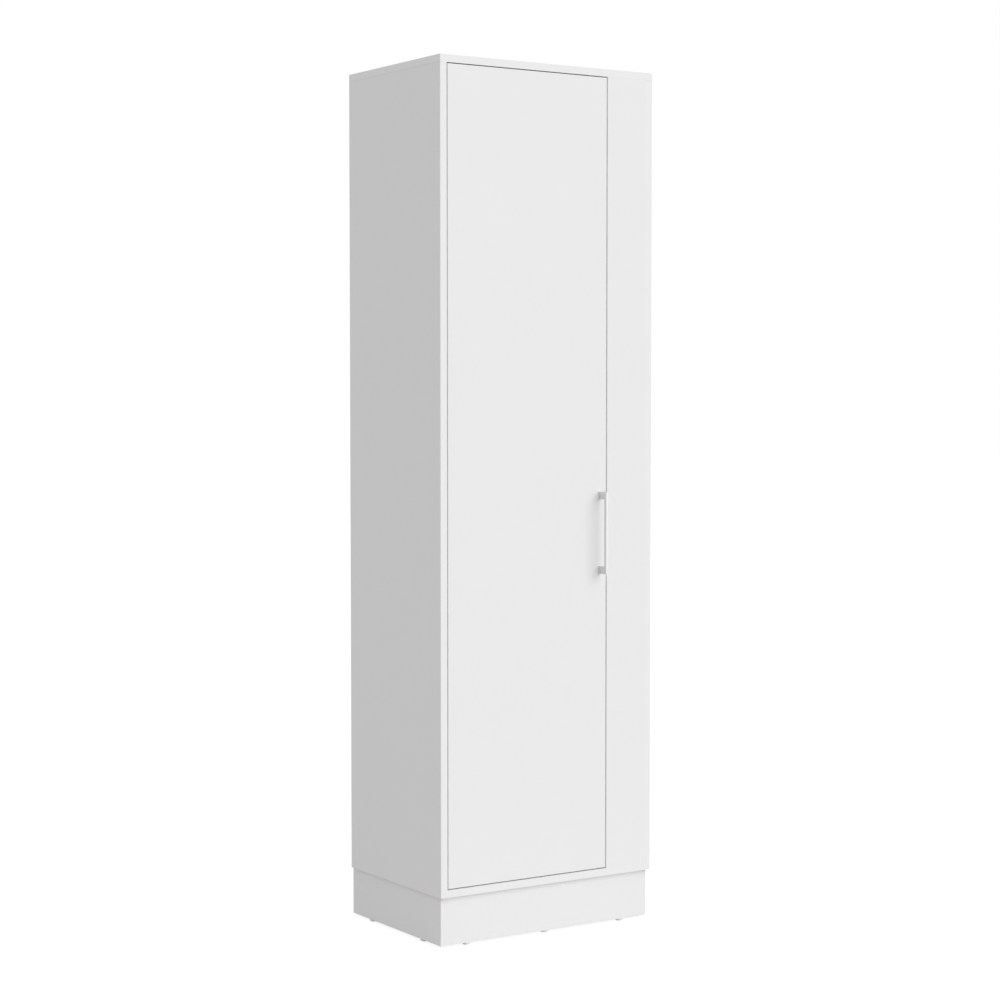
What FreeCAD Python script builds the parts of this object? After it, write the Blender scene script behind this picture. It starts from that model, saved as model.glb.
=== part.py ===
"""Broom cupboard: a tall, narrow melamine cabinet with one inset door.

Frame: millimetres, +Z up, +X to the right seen from the front, +Y into the cupboard.
The origin is at floor level, in the middle of the cupboard's own box, handle included.

Every driving size is a cell of the spreadsheet "Sizes". The formulas below are FreeCAD
expressions on those cells, so a changed cell moves everything that depends on it.
"""
import FreeCAD, Part
import Sketcher
import os

SHELVES = 3
HINGES = 4
BUMPERS = 3
TOOL_HOOKS = 3

# alias, value in millimetres, what it measures
SIZES = (
    ("CarcassWidth", 538, "outside width"),
    ("CarcassDepth", 376, "outside depth without the handle"),
    ("TotalHeight", 1840, "floor to the top face"),
    ("BoardThickness", 16, "every melamine board"),
    ("EdgeBevel", 0.8, "broken edges of the edging"),
    ("DoorWidth", 400, "door leaf"),
    ("DoorGap", 2, "shadow gap round the door"),
    ("PlinthHeight", 102, "plinth boards"),
    ("PlinthSideInset", 5, "plinth behind the carcass side"),
    ("PlinthFrontInset", 9, "plinth behind the carcass front"),
    ("GlideHeight", 5, "nail-on glide"),
    ("GlideRadius", 8, "nail-on glide"),
    ("GlideFoot", 5.5, "radius of the flat that a glide stands on"),
    ("GlideEndInset", 66.5, "outer glides from the plinth's ends"),
    ("GlideFrontInset", 80, "side glide from the plinth's front face"),
    ("GlideBackInset", 74, "side glide from the plinth's back"),
    ("BackThickness", 3, "hardboard back"),
    ("BackInset", 12, "back behind the rear edges"),
    ("GrooveDepth", 6, "groove that holds the back"),
    ("GrooveClearance", 0.2, "slack of the back in its groove"),
    ("GrooveSpare", 1, "groove deeper than the back reaches"),
    ("StripWeb", 1.2, "web of the strip that joins the two backs"),
    ("StripFlange", 0.8, "lips of the joining strip"),
    ("StripReach", 9, "height of a lip above and below the web"),
    ("ShelfSetback", 24, "shelf edge behind the door's inner face"),
    ("ShelfBackGap", 2, "shelf to the back"),
    ("HatSpace", 308, "clear height above the hat shelf"),
    ("ShelfColumnWidth", 240, "clear width of the shelf column"),
    ("ShelfClearance", 0.5, "shelf to each side"),
    ("SupportReach", 9, "ledge of a shelf support"),
    ("SupportDrop", 12, "shelf support down the side"),
    ("SupportWidth", 8, "shelf support, front to back"),
    ("SupportThickness", 1.5, "strip that a shelf support is bent from"),
    ("SupportInset", 30, "shelf supports from the shelf's front and back edges"),
    ("BattenWidth", 60, "stop batten"),
    ("BattenThickness", 18, "stop batten"),
    ("BattenLap", 12, "stop batten past the fixed panel's edge"),
    ("BattenRebate", 2, "depth of the stop batten's rebate"),
    ("BumperRadius", 5, "door bumper"),
    ("BumperCrown", 3.8, "radius of a bumper's face"),
    ("BumperThickness", 1.7, "door bumper"),
    ("BumperEndInset", 175, "outer bumpers from the ends of the batten"),
    ("RailHeight", 100, "wall rail"),
    ("WallHoleRadius", 3, "wall fixing holes"),
    ("WallHoleSpacing", 380, "wall fixing holes"),
    ("ToolRailHeight", 60, "rail for broom hooks"),
    ("ToolRailDrop", 90, "hook rail below the hat shelf"),
    ("HookWidth", 14, "strip that a hook is bent from"),
    ("HookThickness", 2, "strip that a hook is bent from"),
    ("HookPlate", 44, "height of the hook's back"),
    ("HookReach", 36, "hook out from its rail"),
    ("HookLip", 15, "height of the hook's turned-up lip"),
    ("HookBend", 4, "inner radius of the hook's bends"),
    ("HookCorner", 4, "clipped corners of the hook's ends"),
    ("HandleSpacing", 160, "handle posts, centre to centre"),
    ("HandleBarWidth", 6, "handle bar, seen from the front"),
    ("HandleBarDepth", 7.8, "handle bar, front to back"),
    ("HandlePostHeight", 16, "handle post"),
    ("HandlePostReach", 21, "handle post, door to bar"),
    ("HandleEdgeInset", 17.2, "middle of the handle from the door's edge"),
    ("HandleCentre", 852, "middle of the handle above the floor"),
    ("HandleRounding", 0.6, "long edges of the handle's bar and posts"),
    ("HingeEndInset", 95, "outer hinges from the door's ends"),
    ("CupRadius", 17.5, "hinge cup bore in the door"),
    ("CupEdgeDistance", 5, "cup bore to the door's edge"),
    ("CupDepth", 13, "hinge cup bore in the door"),
    ("CupClearance", 0.1, "cup in its bore"),
    ("CupWall", 1.1, "wall of the cup"),
    ("CupFloor", 0.8, "floor of the cup"),
    ("FlangeThickness", 1, "cup flange on the door's back"),
    ("FlangeLap", 1, "flange past the bore"),
    ("FlangeLength", 62, "cup flange"),
    ("FlangeWidth", 18, "cup flange"),
    ("FlangeOffset", 6, "middle of the flange from the cup's middle"),
    ("FlangeCorner", 5, "clipped corners of the cup flange"),
    ("PivotInset", 9, "hinge pin from the door's hinge edge"),
    ("PivotDepth", 10, "hinge pin in front of the door's inner face"),
    ("HingePinRadius", 1, "hinge pin"),
    ("RunningClearance", 0.05, "hinge pin in the arm's eye"),
    ("EyeWall", 0.85, "wall of the arm's eye"),
    ("LugClearance", 0.5, "arm to the cup's lugs"),
    ("LugThickness", 2, "lugs that hold the hinge pin"),
    ("LugHeight", 5.7, "lugs above the cup's floor"),
    ("LugFront", 1.4, "lug past the pin's middle, towards the wall"),
    ("LugBack", 2.7, "lug past the pin's middle, towards the cup's middle"),
    ("SweepRadius", 14, "room inside the arm for the door's turning edge"),
    ("ArmThickness", 2, "strip that the hinge arm is bent from"),
    ("ArmWidth", 8, "hinge arm at the cup"),
    ("ArmHeel", 1.8, "rounding where the arm's bar meets its bend"),
    ("ArmBaseWidth", 14, "hinge arm on its plate"),
    ("ArmReach", 50, "arm's base behind its bend"),
    ("ArmChannel", 3.5, "height of the folded edges of the arm's base"),
    ("ArmChannelWall", 1.2, "folded edges of the arm's base"),
    ("ArmChannelSetback", 8, "folded edges behind the arm's bend"),
    ("PlateThickness", 4, "mounting plate"),
    ("PlateWingThickness", 2.5, "wings of the mounting plate"),
    ("PlateLength", 40, "mounting plate, front to back"),
    ("PlateWidth", 12, "mounting plate under the arm"),
    ("PlateWingLength", 16, "wings, front to back"),
    ("PlateHeight", 50, "mounting plate across its wings"),
    ("PlateCorner", 5, "clipped corners of the plate's wings"),
    ("PlateSetback", 53, "middle of the plate behind the carcass front"),
)

# The places that several pieces share, as formulas on the cells.
HANDLE_REACH = "(Sizes.HandlePostReach + Sizes.HandleBarDepth)"
HANDLE_LENGTH = "(Sizes.HandleSpacing + Sizes.HandlePostHeight)"
FRONT_Y = f"(({HANDLE_REACH} - Sizes.CarcassDepth) / 2)"
BACK_Y = f"({FRONT_Y} + Sizes.CarcassDepth)"
DOOR_BACK_Y = f"({FRONT_Y} + Sizes.BoardThickness)"
INNER_X = "(Sizes.CarcassWidth / 2 - Sizes.BoardThickness)"
CARCASS_Z = "(Sizes.GlideHeight + Sizes.PlinthHeight)"
FLOOR_Z = f"({CARCASS_Z} + Sizes.BoardThickness)"
CEILING_Z = "(Sizes.TotalHeight - Sizes.BoardThickness)"
CLEAR_HEIGHT = f"({CEILING_Z} - {FLOOR_Z})"
CLEAR_WIDTH = f"(2 * {INNER_X})"
SIDE_HEIGHT = f"({CEILING_Z} - {CARCASS_Z})"

DOOR_X = f"(Sizes.DoorGap - {INNER_X})"
DOOR_Z = f"({FLOOR_Z} + Sizes.DoorGap)"
DOOR_HEIGHT = f"({CLEAR_HEIGHT} - 2 * Sizes.DoorGap)"
FIXED_X = f"({DOOR_X} + Sizes.DoorWidth + Sizes.DoorGap)"
FIXED_WIDTH = f"({INNER_X} - {FIXED_X})"

BACK_FACE_Y = "(Sizes.CarcassDepth - Sizes.BackInset - Sizes.BackThickness)"
GROOVE_Y = f"({BACK_FACE_Y} - Sizes.GrooveClearance / 2)"
SHELF_FRONT_Y = "(Sizes.BoardThickness + Sizes.ShelfSetback)"
SHELF_DEPTH = f"({BACK_FACE_Y} - Sizes.ShelfBackGap - {SHELF_FRONT_Y})"
HAT_Z = f"({CEILING_Z} - Sizes.HatSpace - Sizes.BoardThickness)"
COLUMN_HEIGHT = f"({HAT_Z} - {FLOOR_Z})"
PARTITION_X = f"(Sizes.ShelfColumnWidth - {INNER_X})"
BAY_X = f"({PARTITION_X} + Sizes.BoardThickness)"
BAY_WIDTH = f"({INNER_X} - {BAY_X})"
RAIL_Y = f"({FRONT_Y} + {BACK_FACE_Y} - Sizes.BoardThickness)"
TOOL_RAIL_Z = f"({HAT_Z} - Sizes.ToolRailDrop - Sizes.ToolRailHeight)"
WALL_HOLE_Z = f"({CEILING_Z} - Sizes.RailHeight / 2)"
STRIP_Z = f"({HAT_Z} + Sizes.BoardThickness / 2)"

HINGE_X = f"({DOOR_X} + Sizes.PivotInset)"
HINGE_Y = f"({DOOR_BACK_Y} - Sizes.PivotDepth)"
CUP_X = "(Sizes.CupEdgeDistance + Sizes.CupRadius)"
HANDLE_X = f"({DOOR_X} + Sizes.DoorWidth - Sizes.HandleEdgeInset)"

PLINTH_X = "(Sizes.CarcassWidth / 2 - Sizes.PlinthSideInset)"
PLINTH_Y = f"({FRONT_Y} + Sizes.PlinthFrontInset)"
PLINTH_DEPTH = "(Sizes.CarcassDepth - Sizes.PlinthFrontInset)"

doc = FreeCAD.newDocument("BroomCupboard")
pieces = []


def write_sizes():
    """Fill the spreadsheet: a plain number, its alias and a note in each row."""
    sheet = doc.addObject("Spreadsheet::Sheet", "Sizes")
    for row, (alias, value, note) in enumerate(SIZES, start=1):
        sheet.set(f"A{row}", str(value))
        sheet.setAlias(f"A{row}", alias)
        sheet.set(f"B{row}", note)
    doc.recompute()


def value(formula):
    """What a formula on the cells comes to."""
    return float(doc.getObject("Sizes").evalExpression(formula))


def bind(item, **formulas):
    """Tie properties of an object to formulas."""
    for name, formula in formulas.items():
        item.setExpression(name, formula)
    return item


def place(item, x="0", y="0", z="0"):
    """Tie an object's position to formulas."""
    for axis, formula in zip("xyz", (x, y, z)):
        item.setExpression(f"Placement.Base.{axis}", formula)
    return item


def keep(label, item, x="0", y="0", z="0"):
    """Name a finished piece, put it in its place and list it for export."""
    item.Label = label
    place(item, x, y, z)
    pieces.append(item)
    return item


# ---- solids from primitives -------------------------------------------------------------

TURNS = {
    "+Z": FreeCAD.Rotation(),
    "-Z": FreeCAD.Rotation(FreeCAD.Vector(1, 0, 0), 180),
    "+X": FreeCAD.Rotation(FreeCAD.Vector(0, 1, 0), 90),
    "-X": FreeCAD.Rotation(FreeCAD.Vector(0, 1, 0), -90),
    "+Y": FreeCAD.Rotation(FreeCAD.Vector(1, 0, 0), -90),
    "-Y": FreeCAD.Rotation(FreeCAD.Vector(1, 0, 0), 90),
}


def box(name, extents, at=("0", "0", "0")):
    """A box with its low corner at a position."""
    solid = doc.addObject("Part::Box", name)
    bind(solid, Length=extents[0], Width=extents[1], Height=extents[2])
    return place(solid, *at)


def rod(name, radius, length, at=("0", "0", "0"), along="+Z"):
    """A cylinder that starts at a position and runs along an axis."""
    solid = doc.addObject("Part::Cylinder", name)
    bind(solid, Radius=radius, Height=length)
    solid.Placement = FreeCAD.Placement(FreeCAD.Vector(), TURNS[along])
    return place(solid, *at)


def cone(name, radii, length, at=("0", "0", "0"), along="+Z"):
    """A cone from its first radius to its second, along an axis."""
    solid = doc.addObject("Part::Cone", name)
    bind(solid, Radius1=radii[0], Radius2=radii[1], Height=length)
    solid.Placement = FreeCAD.Placement(FreeCAD.Vector(), TURNS[along])
    return place(solid, *at)


def cut(name, base, tools):
    """The base without its tools."""
    cutter = tools[0]
    if len(tools) > 1:
        cutter = group(name + "_cutters", tools)
    result = doc.addObject("Part::Cut", name)
    result.Base = base
    result.Tool = cutter
    return result


def fuse(name, solids):
    """One solid from several that touch."""
    result = doc.addObject("Part::MultiFuse", name)
    result.Shapes = solids
    result.Refine = True
    return result


def group(name, solids):
    """Several loose solids that share a node."""
    result = doc.addObject("Part::Compound", name)
    result.Links = solids
    return result


def dressed(kind, name, base, size, chosen):
    """The base with a fillet or a chamfer on its chosen edges."""
    doc.recompute()
    result = doc.addObject(kind, name)
    result.Base = base
    amount = value(size)
    numbers = [n for n, edge in enumerate(base.Shape.Edges, start=1) if chosen(edge, base.Shape.BoundBox)]
    result.Edges = [(n, amount, amount) for n in numbers]
    return result


def bevelled(name, base, chosen, size="Sizes.EdgeBevel"):
    """A board with the broken edges of its edging, or a plate with clipped corners."""
    return dressed("Part::Chamfer", name, base, size, chosen)


# ---- solids from sketches ----------------------------------------------------------------

def new_body(name):
    """An empty body for sketches and features."""
    return doc.addObject("PartDesign::Body", name)


def new_sketch(owner, name, plane):
    """A sketch on one of its body's origin planes."""
    sketch = owner.newObject("Sketcher::SketchObject", name)
    support = next(item for item in owner.Origin.OriginFeatures if item.Role == plane)
    sketch.AttachmentSupport = (support, [""])
    sketch.MapMode = "FlatFace"
    return sketch


def pin_down(sketch, kind, geometry, point, name, formula):
    """Tie one coordinate of a point to a formula, measured from the sketch's origin."""
    index = sketch.addConstraint(Sketcher.Constraint(kind, -1, 1, geometry, point, value(formula)))
    sketch.renameConstraint(index, name)
    sketch.setExpression(f"Constraints.{name}", formula)


def outline(owner, name, plane, corners):
    """A sketched closed outline of straight lines between corners given by formulas."""
    sketch = new_sketch(owner, name, plane)
    points = [FreeCAD.Vector(value(x), value(y), 0) for x, y in corners]
    following = points[1:] + points[:1]
    for start, end in zip(points, following):
        sketch.addGeometry(Part.LineSegment(start, end), False)
    for line in range(len(points)):
        sketch.addConstraint(Sketcher.Constraint("Coincident", line, 2, (line + 1) % len(points), 1))
    for corner, (x, y) in enumerate(corners):
        pin_down(sketch, "DistanceX", corner, 1, f"x{corner}", x)
        pin_down(sketch, "DistanceY", corner, 1, f"y{corner}", y)
    return sketch



def thicken(kind, owner, name, sketch, length, both_ways=True, reverse=False):
    """A Pad or a Pocket of a sketch, by default half to each side of its plane."""
    feature = owner.newObject(kind, name)
    feature.Profile = sketch
    feature.Midplane = both_ways
    feature.Reversed = reverse
    return bind(feature, Length=length)


def turn(kind, owner, name, sketch):
    """A Revolution or a Groove of a sketch about its upright axis."""
    feature = owner.newObject(kind, name)
    feature.Profile = sketch
    feature.ReferenceAxis = (sketch, ["V_Axis"])
    feature.Angle = 360
    return feature


def dress_edges(kind, owner, name, size, chosen):
    """A Fillet or a Chamfer on the chosen edges of a body so far."""
    doc.recompute()
    base = owner.Tip
    feature = owner.newObject(kind, name)
    bounds = base.Shape.BoundBox
    numbers = [n for n, edge in enumerate(base.Shape.Edges, start=1) if chosen(edge, bounds)]
    feature.Base = (base, [f"Edge{n}" for n in numbers])
    return bind(feature, **{"Radius" if kind.endswith("Fillet") else "Size": size})


def round_edges(owner, name, radius, chosen):
    """A fillet on the chosen edges of a body so far."""
    return dress_edges("PartDesign::Fillet", owner, name, radius, chosen)


# ---- which edges --------------------------------------------------------------------------

TINY = 1e-6


def in_plane(edge, axis, level):
    """Whether an edge lies in the plane where one coordinate has a value."""
    low = getattr(edge.BoundBox, axis + "Min")
    high = getattr(edge.BoundBox, axis + "Max")
    return abs(low - level) < TINY and abs(high - level) < TINY


def runs_along(edge, axis, bounds):
    """Whether an edge goes most of a shape's length along an axis."""
    return getattr(edge.BoundBox, axis + "Length") > getattr(bounds, axis + "Length") / 2


def at_corner(edge, axis, u, v):
    """Whether an edge along one axis stands at a point of the other two."""
    centre = edge.BoundBox.Center
    flat = {"X": (centre.y, centre.z), "Z": (centre.x, centre.y)}[axis]
    straight = getattr(edge.BoundBox, axis + "Length") > TINY
    return straight and abs(flat[0] - u) < TINY and abs(flat[1] - v) < TINY


def front_and_back(edge, bounds):
    """The edges round a board's front and back faces."""
    return in_plane(edge, "Y", bounds.YMin) or in_plane(edge, "Y", bounds.YMax)


def top_and_corners(edge, bounds):
    """The edges round the top face, and the four upright corners."""
    return in_plane(edge, "Z", bounds.ZMax) or edge.BoundBox.ZLength > bounds.ZLength / 2


def left_upright(edge, bounds):
    """A board's upright edges on its left face."""
    return in_plane(edge, "X", bounds.XMin) and runs_along(edge, "Z", bounds)


def right_upright(edge, bounds):
    """A board's upright edges on its right face."""
    return in_plane(edge, "X", bounds.XMax) and runs_along(edge, "Z", bounds)


def front_left_upright(edge, bounds):
    """A board's upright edge at the front left."""
    return left_upright(edge, bounds) and in_plane(edge, "Y", bounds.YMin)


# ---- places that loops work out -------------------------------------------------------

def shared(start, length, count, number):
    """The place of one of several things that stand evenly from the first to the last."""
    return f"({start} + {number - 1} * {length} / {count - 1})"


def shelf_height(number):
    """Underside of an adjustable shelf: the column is shared out in equal spaces."""
    space = f"(({COLUMN_HEIGHT} - {SHELVES} * Sizes.BoardThickness) / {SHELVES + 1})"
    return f"({FLOOR_Z} + {number} * {space} + {number - 1} * Sizes.BoardThickness)"


def hinge_height(number):
    """Middle of a hinge: the outer two from the door's ends, the others between."""
    span = f"({DOOR_HEIGHT} - 2 * Sizes.HingeEndInset)"
    return shared(f"({DOOR_Z} + Sizes.HingeEndInset)", span, HINGES, number)


def bumper_height(number):
    """Middle of a door bumper."""
    span = f"({CLEAR_HEIGHT} - 2 * Sizes.BumperEndInset)"
    return shared(f"({FLOOR_Z} + Sizes.BumperEndInset)", span, BUMPERS, number)


def hook_x(number):
    """Middle of a hook: the hooks share the broom bay's width."""
    return f"({BAY_X} + {2 * number - 1} * {BAY_WIDTH} / {2 * TOOL_HOOKS})"


# ---- carcass ----------------------------------------------------------------------------

def side_panel(side):
    """A side, between the plinth and the top, with the groove for the back."""
    left = side == "left"
    blank = box(f"side_{side}_blank", ("Sizes.BoardThickness", "Sizes.CarcassDepth", SIDE_HEIGHT))
    edged = bevelled(f"side_{side}_edged", blank, left_upright if left else right_upright)
    groove_x = "(Sizes.BoardThickness - Sizes.GrooveDepth)" if left else "0"
    groove_width = "(Sizes.BackThickness + Sizes.GrooveClearance)"
    extents = ("Sizes.GrooveDepth", groove_width, SIDE_HEIGHT)
    groove = box(f"side_{side}_groove", extents, (groove_x, GROOVE_Y, "0"))
    x = "(-Sizes.CarcassWidth / 2)" if left else INNER_X
    keep(f"side_panel_{side}", cut(f"side_{side}_grooved", edged, [groove]), x, FRONT_Y, CARCASS_Z)


def top_panel():
    """The top, which lies over both sides."""
    blank = box("top_blank", ("Sizes.CarcassWidth", "Sizes.CarcassDepth", "Sizes.BoardThickness"))
    edged = bevelled("top_edged", blank, top_and_corners)
    inset = "(Sizes.BoardThickness - Sizes.GrooveDepth)"
    groove = box("top_groove", (f"(Sizes.CarcassWidth - 2 * {inset})",
                                "(Sizes.BackThickness + Sizes.GrooveClearance)", "Sizes.GrooveDepth"),
                 (inset, GROOVE_Y, "0"))
    keep("top_panel", cut("top_grooved", edged, [groove]), "(-Sizes.CarcassWidth / 2)", FRONT_Y, CEILING_Z)


def bottom_panel():
    """The bottom, between the sides."""
    blank = box("bottom_blank", (CLEAR_WIDTH, "Sizes.CarcassDepth", "Sizes.BoardThickness"))
    groove = box("bottom_groove", (CLEAR_WIDTH, "(Sizes.BackThickness + Sizes.GrooveClearance)",
                                   "Sizes.GrooveDepth"),
                 ("0", GROOVE_Y, "(Sizes.BoardThickness - Sizes.GrooveDepth)"))
    keep("bottom_panel", cut("bottom_grooved", blank, [groove]), f"(-{INNER_X})", FRONT_Y, CARCASS_Z)


def fixed_front():
    """The narrow fixed front beside the door, and the batten behind it that stops the door."""
    blank = box("fixed_blank", (FIXED_WIDTH, "Sizes.BoardThickness", CLEAR_HEIGHT))
    keep("front_panel_fixed", bevelled("fixed_edged", blank, front_left_upright), FIXED_X, FRONT_Y, FLOOR_Z)

    batten = box("batten_blank", ("Sizes.BattenWidth", "Sizes.BattenThickness", CLEAR_HEIGHT))
    extents = ("(Sizes.BattenLap + Sizes.EdgeBevel)", "Sizes.BattenRebate", CLEAR_HEIGHT)
    rebated = cut("batten_rebated", batten, [box("batten_rebate", extents)])
    keep("stop_batten", rebated, f"({FIXED_X} - Sizes.BattenLap)", DOOR_BACK_Y, FLOOR_Z)

    x, y = f"({FIXED_X} - Sizes.BattenLap / 2)", f"({DOOR_BACK_Y} + Sizes.BattenRebate)"
    buttons = [cone(f"bumper_{n}", ("Sizes.BumperRadius", "Sizes.BumperCrown"), "Sizes.BumperThickness",
                    (x, y, bumper_height(n)), "-Y") for n in range(1, BUMPERS + 1)]
    keep("door_bumpers", group("bumpers", buttons))


def wall_holes(name, width, height, depth):
    """The two holes of a board for the screws into the wall, at a height of its own."""
    return [rod(f"{name}_{n}", "Sizes.WallHoleRadius", depth,
                (f"({width} / 2 + {side} * Sizes.WallHoleSpacing / 2)", "0", height), "+Y")
            for n, side in enumerate((-1, 1))]


def backs():
    """The two hardboard backs in their grooves, and the strip that joins them."""
    reach = "(Sizes.GrooveDepth - Sizes.GrooveSpare)"
    width = f"({CLEAR_WIDTH} + 2 * {reach})"
    x, y = f"(-{INNER_X} - {reach})", f"({FRONT_Y} + {BACK_FACE_Y})"
    low_z = f"({FLOOR_Z} - {reach})"
    lower = box("back_lower", (width, "Sizes.BackThickness", f"({STRIP_Z} - Sizes.StripWeb / 2 - {low_z})"))
    keep("back_panel_lower", lower, x, y, low_z)

    high_z = f"({STRIP_Z} + Sizes.StripWeb / 2)"
    upper = box("back_upper", (width, "Sizes.BackThickness", f"({CEILING_Z} + {reach} - {high_z})"))
    holes = wall_holes("back_hole", width, f"({WALL_HOLE_Z} - {high_z})", "Sizes.BackThickness")
    keep("back_panel_upper", cut("back_upper_drilled", upper, holes), x, y, high_z)

    lips = "(Sizes.BackThickness + 2 * Sizes.StripFlange)"
    height = "(2 * Sizes.StripReach + Sizes.StripWeb)"
    bar = box("strip_bar", (CLEAR_WIDTH, lips, height))
    extents = (CLEAR_WIDTH, "Sizes.BackThickness", "Sizes.StripReach")
    slots = [box(f"strip_slot_{n}", extents, ("0", "Sizes.StripFlange", z))
             for n, z in enumerate(("0", "(Sizes.StripReach + Sizes.StripWeb)"))]
    keep("back_joining_strip", cut("strip_section", bar, slots), f"(-{INNER_X})",
         f"({y} - Sizes.StripFlange)", f"({STRIP_Z} - {height} / 2)")


def wall_rail():
    """The rail under the top at the back, screwed to a wall through its two holes."""
    blank = box("rail_blank", (CLEAR_WIDTH, "Sizes.BoardThickness", "Sizes.RailHeight"))
    holes = wall_holes("rail_hole", CLEAR_WIDTH, "(Sizes.RailHeight / 2)", "Sizes.BoardThickness")
    keep("wall_rail", cut("rail_drilled", blank, holes), f"(-{INNER_X})", RAIL_Y,
         f"({CEILING_Z} - Sizes.RailHeight)")


# ---- plinth -----------------------------------------------------------------------------

def mitre(name, x, angle):
    """A square block turned so that it takes a board's end off at 45 degrees."""
    edge = "(Sizes.BoardThickness * sqrt(2))"
    block = box(name, (edge, edge, "Sizes.PlinthHeight"))
    block.Placement = FreeCAD.Placement(FreeCAD.Vector(), FreeCAD.Rotation(FreeCAD.Vector(0, 0, 1), angle))
    return place(block, x)


def plinth():
    """The plinth frame: mitred at the front corners, with a back and a middle board."""
    length = f"(2 * {PLINTH_X})"
    blank = box("plinth_front_blank", (length, "Sizes.BoardThickness", "Sizes.PlinthHeight"))
    ends = [mitre("plinth_front_mitre_left", "0", 45), mitre("plinth_front_mitre_right", length, 45)]
    mitred = cut("plinth_front_mitred", blank, ends)
    keep("plinth_front", mitred, f"(-{PLINTH_X})", PLINTH_Y, "Sizes.GlideHeight")

    inner = f"({PLINTH_X} - Sizes.BoardThickness)"
    sides = (("left", f"(-{PLINTH_X})", "0", -45), ("right", inner, "Sizes.BoardThickness", 135))
    for side, x, corner, angle in sides:
        blank = box(f"plinth_{side}_blank", ("Sizes.BoardThickness", PLINTH_DEPTH, "Sizes.PlinthHeight"))
        mitred = cut(f"plinth_{side}_mitred", blank, [mitre(f"plinth_{side}_mitre", corner, angle)])
        keep(f"plinth_side_{side}", mitred, x, PLINTH_Y, "Sizes.GlideHeight")

    back = box("plinth_back_board", (f"(2 * {inner})", "Sizes.BoardThickness", "Sizes.PlinthHeight"))
    keep("plinth_back", back, f"(-{inner})", f"({BACK_Y} - Sizes.BoardThickness)", "Sizes.GlideHeight")
    depth = f"({PLINTH_DEPTH} - 2 * Sizes.BoardThickness)"
    rail = box("plinth_centre_board", ("Sizes.BoardThickness", depth, "Sizes.PlinthHeight"))
    keep("plinth_centre_rail", rail, "(-Sizes.BoardThickness / 2)", f"({PLINTH_Y} + Sizes.BoardThickness)",
         "Sizes.GlideHeight")


def glide_places():
    """Where the glides stand: along the front and back boards, and two under each side."""
    half = "Sizes.BoardThickness / 2"
    front, back = f"({PLINTH_Y} + {half})", f"({BACK_Y} - {half})"
    end, side = f"({PLINTH_X} - Sizes.GlideEndInset)", f"({PLINTH_X} - {half})"
    places = [(x, y) for y in (front, back) for x in (f"(-{end})", "0", end)]
    along = (f"({PLINTH_Y} + Sizes.GlideFrontInset)", f"({BACK_Y} - Sizes.GlideBackInset)")
    return places + [(x, y) for x in (f"(-{side})", side) for y in along]


def nail_glides():
    """Turned glides nailed under the plinth boards, each narrowing to the flat it stands on."""
    section = (("0", "0"), ("Sizes.GlideFoot", "0"), ("Sizes.GlideRadius", "Sizes.GlideHeight"),
               ("0", "Sizes.GlideHeight"))
    glides = []
    for number, (x, y) in enumerate(glide_places(), start=1):
        glide = new_body(f"glide_{number}")
        turn("PartDesign::Revolution", glide, f"glide_turned_{number}",
             outline(glide, f"glide_section_{number}", "XZ_Plane", section))
        glides.append(place(glide, x, y))
    keep("nail_glides", group("glides", glides))


# ---- inside ------------------------------------------------------------------------------

def shelves():
    """The fixed hat shelf, the partition under it and the adjustable shelves."""
    front = f"({FRONT_Y} + {SHELF_FRONT_Y})"
    hat = box("hat_board", (CLEAR_WIDTH, SHELF_DEPTH, "Sizes.BoardThickness"))
    keep("hat_shelf", hat, f"(-{INNER_X})", front, HAT_Z)

    upright = box("partition_board", ("Sizes.BoardThickness", SHELF_DEPTH, COLUMN_HEIGHT))
    keep("partition", upright, PARTITION_X, front, FLOOR_Z)

    width = "(Sizes.ShelfColumnWidth - 2 * Sizes.ShelfClearance)"
    for number in range(1, SHELVES + 1):
        board = box(f"shelf_board_{number}", (width, SHELF_DEPTH, "Sizes.BoardThickness"))
        keep(f"shelf_{number}", board, f"(Sizes.ShelfClearance - {INNER_X})", front, shelf_height(number))


def shelf_support(name, at, sign):
    """An angle of bent strip, with its ledge under the shelf and its other leg down the side."""
    thick, reach, drop = (f"Sizes.Support{part}" for part in ("Thickness", "Reach", "Drop"))
    section = (("0", "0"), (f"({sign}{reach})", "0"), (f"({sign}{reach})", f"(-{thick})"),
               (f"({sign}{thick})", f"(-{thick})"), (f"({sign}{thick})", f"(-{drop})"), ("0", f"(-{drop})"))
    support = new_body(name)
    profile = outline(support, name + "_section", "XZ_Plane", section)
    thicken("PartDesign::Pad", support, name + "_strip", profile, "Sizes.SupportWidth")
    return place(support, *at)


def shelf_supports():
    """The supports under the adjustable shelves, four to each."""
    front = f"({FRONT_Y} + {SHELF_FRONT_Y} + Sizes.SupportInset)"
    back = f"({FRONT_Y} + {SHELF_FRONT_Y} + {SHELF_DEPTH} - Sizes.SupportInset)"
    supports = [shelf_support(f"support_{side}_{row}_{shelf}", (x, y, shelf_height(shelf)), sign)
                for shelf in range(1, SHELVES + 1) for row, y in (("front", front), ("back", back))
                for side, x, sign in (("left", f"(-{INNER_X})", ""), ("right", PARTITION_X, "-"))]
    keep("shelf_supports", group("supports", supports))


def hook_section():
    """A hook's profile: back, stem and turned-up lip of one bent strip."""
    thick, out = "Sizes.HookThickness", "(-Sizes.HookReach)"
    inside = f"({out} + {thick})"
    return (("0", "Sizes.HookPlate"), ("0", "0"), (out, "0"), (out, "Sizes.HookLip"), (inside, "Sizes.HookLip"),
            (inside, thick), (f"(-{thick})", thick), (f"(-{thick})", "Sizes.HookPlate"))


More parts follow.
